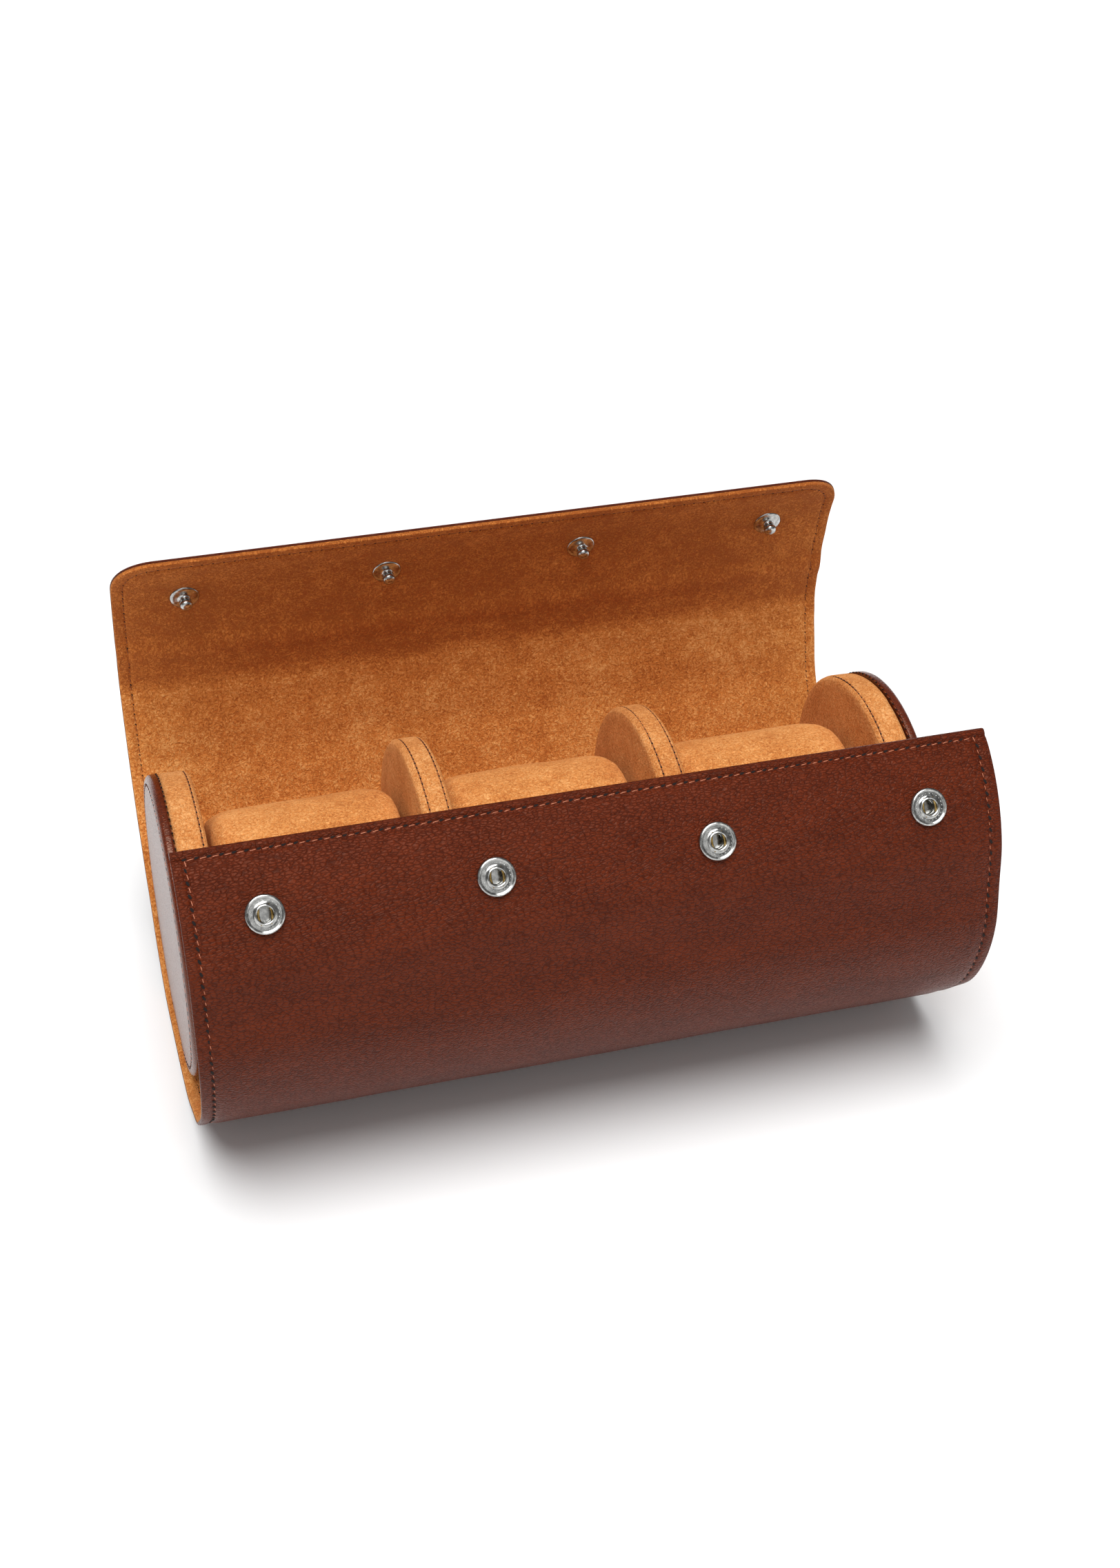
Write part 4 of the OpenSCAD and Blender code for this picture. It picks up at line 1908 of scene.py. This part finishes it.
@dataclass
class StandingDisc:
    """A round, padded disc that stands across the roll with a flat foot."""

    shop: Workshop
    radius: float = 44.0
    foot: float = 3.0
    spokes: int = 200

    def reach(self, angles: Array, radius: float) -> Array:
        """The disc's radius in each direction, cut off by the flat foot.

        Args:
            angles: Directions from the bottom, in radians.
            radius: The disc's full radius.

        Returns:
            Radii.
        """
        drop = SIZES.centre_z - self.foot
        down = np.cos(angles)
        flat = np.where(down > 0.2, drop / np.maximum(down, 0.2), 1e3)
        return np.minimum(flat, radius)

    def disc(
        self, name: str, centre_x: float, profile: Array, uneven: float, seed: int
    ) -> bpy.types.Object:
        """Turns a profile into a disc with its foot.

        Args:
            name: The piece's name.
            centre_x: The disc's middle along the roll.
            profile: Rows of (radius, x) from one face's centre round the rim to the
                other's.
            uneven: How far its padding wanders, in millimetres.
            seed: Which of the fixed patterns it wanders by.

        Returns:
            The piece.
        """
        points, faces = lathe(profile, self.spokes)
        a = np.arctan2(points[:, 1], points[:, 0])
        r = np.hypot(points[:, 0], points[:, 1])
        scale = self.reach(a, self.radius) / self.radius
        r = r * np.where(r > 0, 1 - (1 - scale) * smooth(r / self.radius), 1.0)
        way = np.sign(points[:, 2])
        wander = uneven * ripple(r * np.cos(a), r * np.sin(a), seed, 26.0)
        fade = smooth((self.radius - r) / 12.0)
        x = centre_x + points[:, 2] + way * wander * fade
        on_rim, off_foot = r > self.radius * 0.9, scale > 0.999
        swell = 0.5 * uneven * ripple(a * self.radius, points[:, 2], seed + 1, 30.0)
        r = r + swell * on_rim * off_foot - 0.25 * uneven * on_rim
        y, z = r * np.sin(a), SIZES.centre_z - r * np.cos(a)
        return make_piece(name, np.stack([x, y, z], 1), faces, crease=70.0)

    def ring(
        self, centre_x: float, radius: float, pitch: float, out: Array
    ) -> tuple[Array, Array, Array]:
        """Stitches round the disc, clear of its foot.

        Args:
            centre_x: Their place along the roll.
            radius: Their radius.
            pitch: Distance between stitches.
            out: The way out of the surface as (radial, x).

        Returns:
            Points, tangents and normals.
        """
        count = round(2 * math.pi * radius / pitch)
        a = np.arange(count) * 2 * math.pi / count
        a = a[radius * np.cos(a) < SIZES.centre_z - self.foot - 1.2]
        zero = np.zeros_like(a)
        points = np.stack(
            [zero + centre_x, radius * np.sin(a), SIZES.centre_z - radius * np.cos(a)], 1
        )
        tangents = np.stack([zero, np.cos(a), np.sin(a)], 1)
        normals = np.stack([zero + out[1], out[0] * np.sin(a), -out[0] * np.cos(a)], 1)
        return points, tangents, normals


@dataclass
class Divider(StandingDisc):
    """A padded divider: two suede faces and a band sewn between them."""

    thickness: float = 9.4
    rim_r: float = 2.6
    crown: float = 0.5
    band_seams: tuple[float, ...] = (-2.3, 3.1)
    seam_pitch: float = 2.3

    def rim_radius(self, x: Array) -> Array:
        """The rim's radius across its thickness, before the seams."""
        flat = self.thickness / 2 - self.rim_r
        over = np.maximum(np.abs(x) - flat, 0.0) / self.rim_r
        return self.radius - self.rim_r * (
            1 - np.sqrt(np.maximum(1 - over * over, 0.0))
        )

    def profile(self, seams: tuple[float, ...]) -> Array:
        """The section from one face's centre round the rim to the other's.

        Args:
            seams: The seams' places across the rim.

        Returns:
            Rows of (radius, x).
        """
        half, sink = self.thickness / 2, 0.35
        face_r = np.array([0, 5, 10, 15, 20, 25, 30, 34, 37, 39, 40.3])
        crown_r = self.radius - self.rim_r
        face = half + self.crown * (1 - (face_r / crown_r) ** 2) - sink
        arc = np.radians(np.linspace(0, 90, 9))[1:]
        inwards = self.rim_r * (1 - np.sin(math.pi / 2 - arc))
        across = half - sink * (1 - np.sin(arc)) - inwards
        flat = np.linspace(half - self.rim_r, -(half - self.rim_r), 12)
        beside = np.array([-0.45, -0.25, -0.1, 0.0, 0.1, 0.25, 0.45])
        rows = [across, flat[1:-1], -across[::-1], *(s + beside for s in seams)]
        xs = np.unique(np.round(np.concatenate(rows), 3))[::-1]
        r = self.rim_radius(xs)
        for s in seams:
            r = r - 0.42 * np.exp(-(((xs - s) / 0.22) ** 2))
            r = r + 0.12 * np.exp(-(((xs - s - 0.6 * np.sign(s)) / 0.5) ** 2))
        right = np.column_stack([face_r, face])
        left = np.column_stack([face_r[::-1], -face[::-1]])
        return np.concatenate([right, np.column_stack([r, xs]), left])

    def build(self, number: int, centre_x: float) -> None:
        """Makes one divider with its seams.

        Args:
            number: Its number from the left.
            centre_x: Its middle along the roll.
        """
        seams = {1: (3.1,), 4: (-3.1,)}.get(number, self.band_seams)
        pad = self.disc(
            f"divider_{number}_pad", centre_x, self.profile(seams), 0.3, 20 + number
        )
        self.shop.dress(pad, "suede_divider")
        nodes = [f"divider_{number}_{part}" for part in ("cover", "core")]
        ride_and_name(pad, "base", "suede_divider", *nodes)
        for k, s in enumerate(seams):
            r = float(self.rim_radius(np.array([s]))[0]) - 0.36
            tilt = math.atan2(abs(s) - (self.thickness / 2 - self.rim_r), self.rim_r)
            lean = max(tilt, 0)
            out = np.array([math.cos(lean), math.sin(lean) * np.sign(s)])
            row = self.shop.stitch_row(
                f"divider_{number}_seam_{k + 1}",
                *self.ring(centre_x + s, r, self.seam_pitch, out),
                "thread_dark",
                Stitch_Length=1.9,
                Thread_Radius=0.16,
                Rise=0.14,
                Hole_Length=0.3,
                Hole_Width=0.2,
            )
            ride_and_name(row, "base", "suede_divider")


@dataclass
class EndFace(StandingDisc):
    """The leather disc that closes one end of the roll, sewn to its divider."""

    thickness: float = 3.2
    outer_x: float = 111.2
    seam_r: float = 41.2

    def build(self, side: int) -> None:
        """Makes one end face.

        Args:
            side: -1 at the left end and 1 at the right.
        """
        t = self.thickness
        rows = [(0, 0.25), (12, 0.24), (22, 0.2), (32, 0.12), (37, 0.04), (39.9, -0.02)]
        rows += [(40.7, -0.14), (41.2, -0.22), (41.7, -0.16), (42.2, -0.1)]
        rows += [(42.8, -0.22), (43.35, -0.48), (43.75, -0.85), (43.95, -1.3)]
        rows += [(44.0, -1.8), (44.0, -2.6), (43.9, -t + 0.15), (43.5, -t)]
        rows += [(38, -t), (20, -t), (0, -t)]
        profile = np.array(rows, float)
        profile[:, 1] = side * (profile[:, 1] + t / 2)
        if side < 0:
            profile = profile[::-1]
        name = "left" if side < 0 else "right"
        centre_x = side * (self.outer_x - t / 2)
        face = self.disc(f"end_face_{name}_leather", centre_x, profile, 0.0, 40)
        self.shop.dress(face, "hide_disc")
        ride_and_name(face, "base", "leather", f"end_face_{name}")
        ring = self.ring(
            side * (self.outer_x - 0.24), self.seam_r, 3.0, np.array([0.0, side])
        )
        row = self.shop.stitch_row(f"end_face_{name}_seam", *ring, "thread_tan")
        ride_and_name(row, "base", "leather")
        joint = self.ring(
            side * (self.outer_x - t - 0.1), self.radius - 0.12, 2.6, np.array([1.0, 0.0])
        )
        joining = self.shop.stitch_row(
            f"end_face_{name}_joining_seam",
            *joint,
            "thread_dark",
            Stitch_Length=1.3,
            Thread_Radius=0.13,
            Rise=0.12,
            Hole_Length=0.3,
            Hole_Width=0.16,
        )
        ride_and_name(joining, "base", "leather")


# --- Pillows ---------------------------------------------------------------------------


@dataclass
class WatchPillow:
    """A foam pillow in a suede cover that a watch is buckled round."""

    shop: Workshop
    depth: float = 66.0
    height: float = 73.0
    width: float = 57.07
    floor_gap: float = 3.3
    round_r: float = 4.0
    start_inset: float = 0.9
    quick_inset: float = 0.4
    voxel: float = 4.5
    pressure: float = 4.0
    frames: int = 20
    cap: float = 6.0

    def shape(self, name: str, inset: float) -> bpy.types.Object:
        """The pillow before it is filled: an upright oval bar with rounded ends.

        Args:
            name: The piece's name.
            inset: How much smaller it is all round.

        Returns:
            The piece.
        """
        r = self.depth / 2 - inset
        rise = self.height - self.depth
        half = self.width / 2 - inset
        spokes = 96
        a = np.arange(spokes) * 2 * math.pi / spokes
        way = np.stack([np.sin(a), np.cos(a)], 1)
        shift = np.where(way[:, 1] > 0, rise, 0.0)
        round_r = self.round_r
        arris = [
            (round_r * (1 - math.cos(t)), half - round_r * (1 - math.sin(t)))
            for t in np.radians(np.linspace(0, 90, 7))
        ]
        side = arris[0][1]
        discs = [r - round_r - k * (r - round_r) / 7 for k in range(1, 7)]
        layout = [(r - d, half) for d in discs[::-1]] + arris[::-1]
        layout += [(0.0, x) for x in np.linspace(side, -side, 12)[1:-1]]
        layout += [(inwards, -x) for inwards, x in arris]
        layout += [(r - d, -half) for d in discs]
        centre_z = self.floor_gap + self.depth / 2
        rows = []
        for inwards, x in layout:
            radius = r - inwards
            share = radius / r
            y = radius * way[:, 0]
            z = centre_z + radius * way[:, 1] + shift * share + rise / 2 * (1 - share)
            rows.append(np.stack([np.full(spokes, x), y, z], 1))
        points = np.concatenate(rows)
        faces = []
        last = (len(rows) - 1) * spokes
        for first in range(0, last, spokes):
            for k in range(spokes):
                here, after = first + k, first + (k + 1) % spokes
                faces.append((here, after, after + spokes, here + spokes))
        faces.append(tuple(range(spokes)))
        faces.append(tuple(reversed(range(last, last + spokes))))
        return make_piece(name, points, faces, crease=180.0)

    def fill(self) -> bpy.types.Mesh:
        """Fills the cover by a cloth simulation and returns its mesh at the middle."""
        pad = self.shape("pillow_blank", self.start_inset)
        remesh = pad.modifiers.new("even", "REMESH")
        remesh.mode, remesh.voxel_size = "VOXEL", self.voxel * MM
        remesh.use_smooth_shade = True
        keep_result(pad)
        before = np.array([v.co for v in pad.data.vertices])
        cloth = pad.modifiers.new("fill", "CLOTH")
        cloth.settings.use_pressure = True
        cloth.settings.uniform_pressure_force = self.pressure
        cloth.settings.effector_weights.gravity = 0.0
        cloth.settings.tension_stiffness = 40.0
        cloth.settings.compression_stiffness = 40.0
        cloth.settings.bending_stiffness = 8.0
        cloth.point_cache.frame_start = 1
        cloth.point_cache.frame_end = self.frames
        scene = bpy.context.scene
        for number in range(1, self.frames + 1):
            scene.frame_set(number)
        keep_result(pad)
        scene.frame_set(1)
        after = np.array([v.co for v in pad.data.vertices])
        move = after - before
        size = np.linalg.norm(move, axis=1, keepdims=True)
        move *= np.minimum(1.0, self.cap * MM / np.maximum(size, 1e-9))
        settled = self.settle(before + move)
        pad.data.vertices.foreach_set("co", settled.ravel())
        finer = pad.modifiers.new("finer", "SUBSURF")
        finer.levels = finer.render_levels = 1
        keep_result(pad)
        return self.keep(pad)

    def settle(self, points: Array) -> Array:
        """Presses the filled pillow back inside the room that its compartment gives."""
        spare = 0.35
        half = (self.width / 2 + spare) * MM
        x = points[:, 0]
        points[:, 0] = np.where(np.abs(x) > half, np.sign(x) * half, x)
        low = (self.floor_gap - 0.2) * MM
        high = (self.floor_gap + self.height + 0.6) * MM
        points[:, 2] = np.clip(points[:, 2], low, high)
        reach = (self.depth / 2 + 0.6) * MM
        points[:, 1] = np.clip(points[:, 1], -reach, reach)
        return points

    def keep(self, pad: bpy.types.Object) -> bpy.types.Mesh:
        """Removes the working object and returns its mesh."""
        mesh = pad.data.copy()
        bpy.data.objects.remove(pad)
        return mesh

    def build(self, centres: list[float]) -> None:
        """Makes the three pillows from one filled cover, each dented its own way.

        Args:
            centres: Their middles along the roll.
        """
        filled = self.fill()
        for number, centre in enumerate(centres, 1):
            mesh = filled.copy()
            points = np.array([v.co for v in mesh.vertices]) / MM
            level = points[:, 0] + points[:, 1]
            wander = 0.28 * ripple(level, points[:, 2], 60 + number, 24.0)
            middle = np.array([0.0, 0.0, self.floor_gap + self.height / 2])
            way = points - middle
            way /= np.maximum(np.linalg.norm(way, axis=1, keepdims=True), 1e-9)
            points = points + way * wander[:, None] - way * 0.2
            points[:, 0] += centre
            mesh.vertices.foreach_set("co", (points * MM).ravel())
            name = f"pillow_{number}_pad"
            mesh.name = name
            shade(mesh, 180.0)
            pad = linked(name, mesh)
            self.shop.dress(pad, "suede_pillow")
            nodes = [f"pillow_{number}_{part}" for part in ("cover", "core")]
            ride_and_name(pad, f"pillow_{number}", "suede_pillow", *nodes)


# --- Snaps -----------------------------------------------------------------------------


Profile = tuple[tuple[float, float], ...]
TOP = SIZES.tab_wall
# Rows of (radius, height over the suede side), in millimetres
SOCKET_PROFILE: Profile = (
    (0.0, 1.05), (2.42, 1.05), (2.5, 2.8), (5.1, 2.9), (5.24, 3.1), (5.26, 3.4),
    (5.2, 3.75), (5.02, 4.02), (4.76, 4.12), (4.52, 4.04), (4.38, 3.9), (4.2, 3.86),
    (3.4, 4.0), (2.95, 4.12), (2.78, 4.34), (2.6, 4.54), (2.42, 4.6), (2.24, 4.52),
    (2.1, 4.3), (2.06, 3.9), (2.2, 3.4), (2.26, 2.4), (2.2, 1.5), (2.0, 1.25),
    (0.0, 1.22),
)
STUD_PROFILE: Profile = (
    (0.0, 0.4), (4.0, 0.4), (4.3, 0.16), (4.36, 0.0), (4.3, -0.2), (4.0, -0.42),
    (3.2, -0.56), (2.3, -0.7), (1.75, -0.9), (1.5, -1.2), (1.42, -1.6),
    (1.46, -1.95), (1.66, -2.25), (1.84, -2.6), (1.9, -3.0), (1.85, -3.4),
    (1.66, -3.8), (1.3, -4.1), (0.8, -4.28), (0.0, -4.34),
)
CAP_PROFILE: Profile = (
    (0.0, -0.2), (1.4, -0.2), (1.4, TOP - 0.25), (6.0, TOP - 0.25), (6.2, TOP),
    (6.22, TOP + 0.16), (6.05, TOP + 0.36), (5.4, TOP + 0.62), (4.2, TOP + 0.94),
    (2.8, TOP + 1.2), (1.4, TOP + 1.35), (0.0, TOP + 1.4),
)


@dataclass
class SnapSet:
    """Four press studs: sockets on the front panel, studs and caps on the tab."""

    shop: Workshop
    spokes: int = 64
    dots: int = 22
    dot_r: float = 0.19
    dots_r: float = 3.7
    dots_height: float = 3.95

    def part(
        self, name: str, profile: Profile, laid: float, body: str, node: str
    ) -> None:
        """Makes one kind of snap part at every snap.

        Args:
            name: The piece's name.
            profile: Its section, which starts and ends on its axis.
            laid: Laid length of the row of snaps.
            body: The body that it rides on.
            node: The CAD node that it replaces.
        """
        turned_points, turned_faces = lathe(np.array(profile, float), self.spokes)
        points, faces = self.shop.at_snaps(turned_points, turned_faces, laid)
        piece = make_piece(name, points, faces, crease=38.0)
        self.shop.dress(piece, "plated_nickel")
        ride_and_name(piece, body, "snap_metal", node)

    def build(self) -> None:
        """Makes the snaps' parts and dresses the CAD ones that stay."""
        front, back = self.shop.socket_laid, self.shop.stud_laid
        panel, tab = "front_panel_5", "tab_panel_2"
        self.part("snap_socket_rings", SOCKET_PROFILE, front, panel, "snap_sockets")
        self.dot_rings(front, panel)
        self.part("snap_stud_posts", STUD_PROFILE, back, tab, "snap_studs")
        self.part("snap_cap_domes", CAP_PROFILE, back, tab, "snap_caps")
        for node in ("snap_springs", "snap_posts"):
            self.shop.dress(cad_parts[node], "plated_brass")

    def dot_rings(self, laid: float, body: str) -> None:
        """Sets a ring of raised dots on every socket.

        Args:
            laid: Laid length of the sockets' row.
            body: The body that they ride on.
        """
        name = "snap_socket_dots"
        a = np.arange(self.dots) * 2 * math.pi / self.dots
        height = np.full(self.dots, self.dots_height)
        ring = np.stack([self.dots_r * np.cos(a), self.dots_r * np.sin(a), height], 1)
        spots, _ = self.shop.at_snaps(ring, [], laid)
        mesh = bpy.data.meshes.new(name)
        mesh.from_pydata((spots * MM).tolist(), [], [])
        dots = linked(name, mesh)
        nickel = self.shop.finishes["plated_nickel"]
        self.shop.beads.run(dots, Bead_Radius=self.dot_r * MM, Metal=nickel)
        ride_and_name(dots, body, "snap_metal")


# --- Studio ------------------------------------------------------------------------------


@dataclass(frozen=True)
class Sun:
    """A broad, even light: the way it comes from, its spread in degrees, its power."""

    name: str
    way: tuple[float, float, float]
    spread: float
    power: float

    def build(self) -> None:
        """Hangs the light."""
        data = bpy.data.lights.new(self.name, "SUN")
        data.angle, data.energy = math.radians(self.spread), self.power
        light = linked(self.name, data)
        light.rotation_euler = Vector(self.way).to_track_quat("Z", "Y").to_euler()


SUNS = (
    Sun("overhead", (-0.12, -0.16, 1.0), 46.0, 3.35),
    Sun("front_fill", (-0.2, -1.0, 0.7), 60.0, 0.45),
)


@dataclass
class Studio:
    """A plain white floor, soft lights and the camera."""

    floor_reach: float = 6.0
    floor_tone: float = 0.93
    surround: float = 0.18
    lens: float = 52.22
    pitch: float = 37.58
    azimuth: float = 16.97
    roll: float = 1.83
    eye: tuple[float, float, float] = (-0.1479, -0.5045, 0.4806)

    def build(self) -> None:
        """Sets up everything that isn't the object."""
        self.make_floor()
        self.make_world()
        for sun in SUNS:
            sun.build()
        self.make_camera()
        bpy.context.scene.view_settings.view_transform = "Standard"

    def make_floor(self) -> None:
        """A wide pale floor."""
        mesh = bpy.data.meshes.new("floor")
        corners = ((-1, -1), (1, -1), (1, 1), (-1, 1))
        points = [(x * self.floor_reach, y * self.floor_reach, 0) for x, y in corners]
        mesh.from_pydata(points, [], [(0, 1, 2, 3)])
        floor = linked("floor", mesh)
        m = MaterialMaker("floor_white", Roughness=0.9, Specular_IOR_Level=0.1)
        tone = (self.floor_tone,) * 3
        m.shader.inputs["Base Color"].default_value = (*tone, 1.0)
        mesh.materials.append(m.material)

    def make_world(self) -> None:
        """An even white surround."""
        world = bpy.data.worlds.new("surround")
        world.use_nodes = True
        background = world.node_tree.nodes["Background"]
        background.inputs["Color"].default_value = (1.0, 1.0, 1.0, 1.0)
        background.inputs["Strength"].default_value = self.surround
        bpy.context.scene.world = world

    def make_camera(self) -> None:
        """The camera, above the front and a little to the left."""
        p, a, r = (math.radians(v) for v in (self.pitch, self.azimuth, self.roll))
        level = math.cos(p)
        back = Vector((-math.sin(a) * level, -math.cos(a) * level, math.sin(p)))
        right = Vector((math.cos(a), -math.sin(a), 0.0))
        up = back.cross(right)
        right, up = (
            right * math.cos(r) + up * math.sin(r),
            up * math.cos(r) - right * math.sin(r),
        )
        data = bpy.data.cameras.new("camera")
        data.lens = self.lens
        camera = linked("camera", data)
        turn = Matrix((right, up, back)).transposed().to_4x4()
        camera.matrix_world = Matrix.Translation(self.eye) @ turn
        bpy.context.scene.camera = camera


# --- Everything ---------------------------------------------------------------------------


def main() -> None:
    """Builds the roll's sub-assemblies in order."""
    logging.basicConfig(level=logging.INFO, format="%(name)s: %(message)s")
    shop = Workshop()
    Studio().build()
    Wrap(shop).build()
    divider = Divider(shop)
    end_x = EndFace.outer_x - EndFace.thickness - Divider.thickness / 2
    places = [end_x * (2 * i / 3 - 1) for i in range(4)]
    for number, x in enumerate(places, 1):
        divider.build(number, x)
    for side in (-1, 1):
        EndFace(shop).build(side)
    WatchPillow(shop).build([(a + b) / 2 for a, b in zip(places, places[1:])])
    SnapSet(shop).build()


if __name__ == "__main__":
    main()
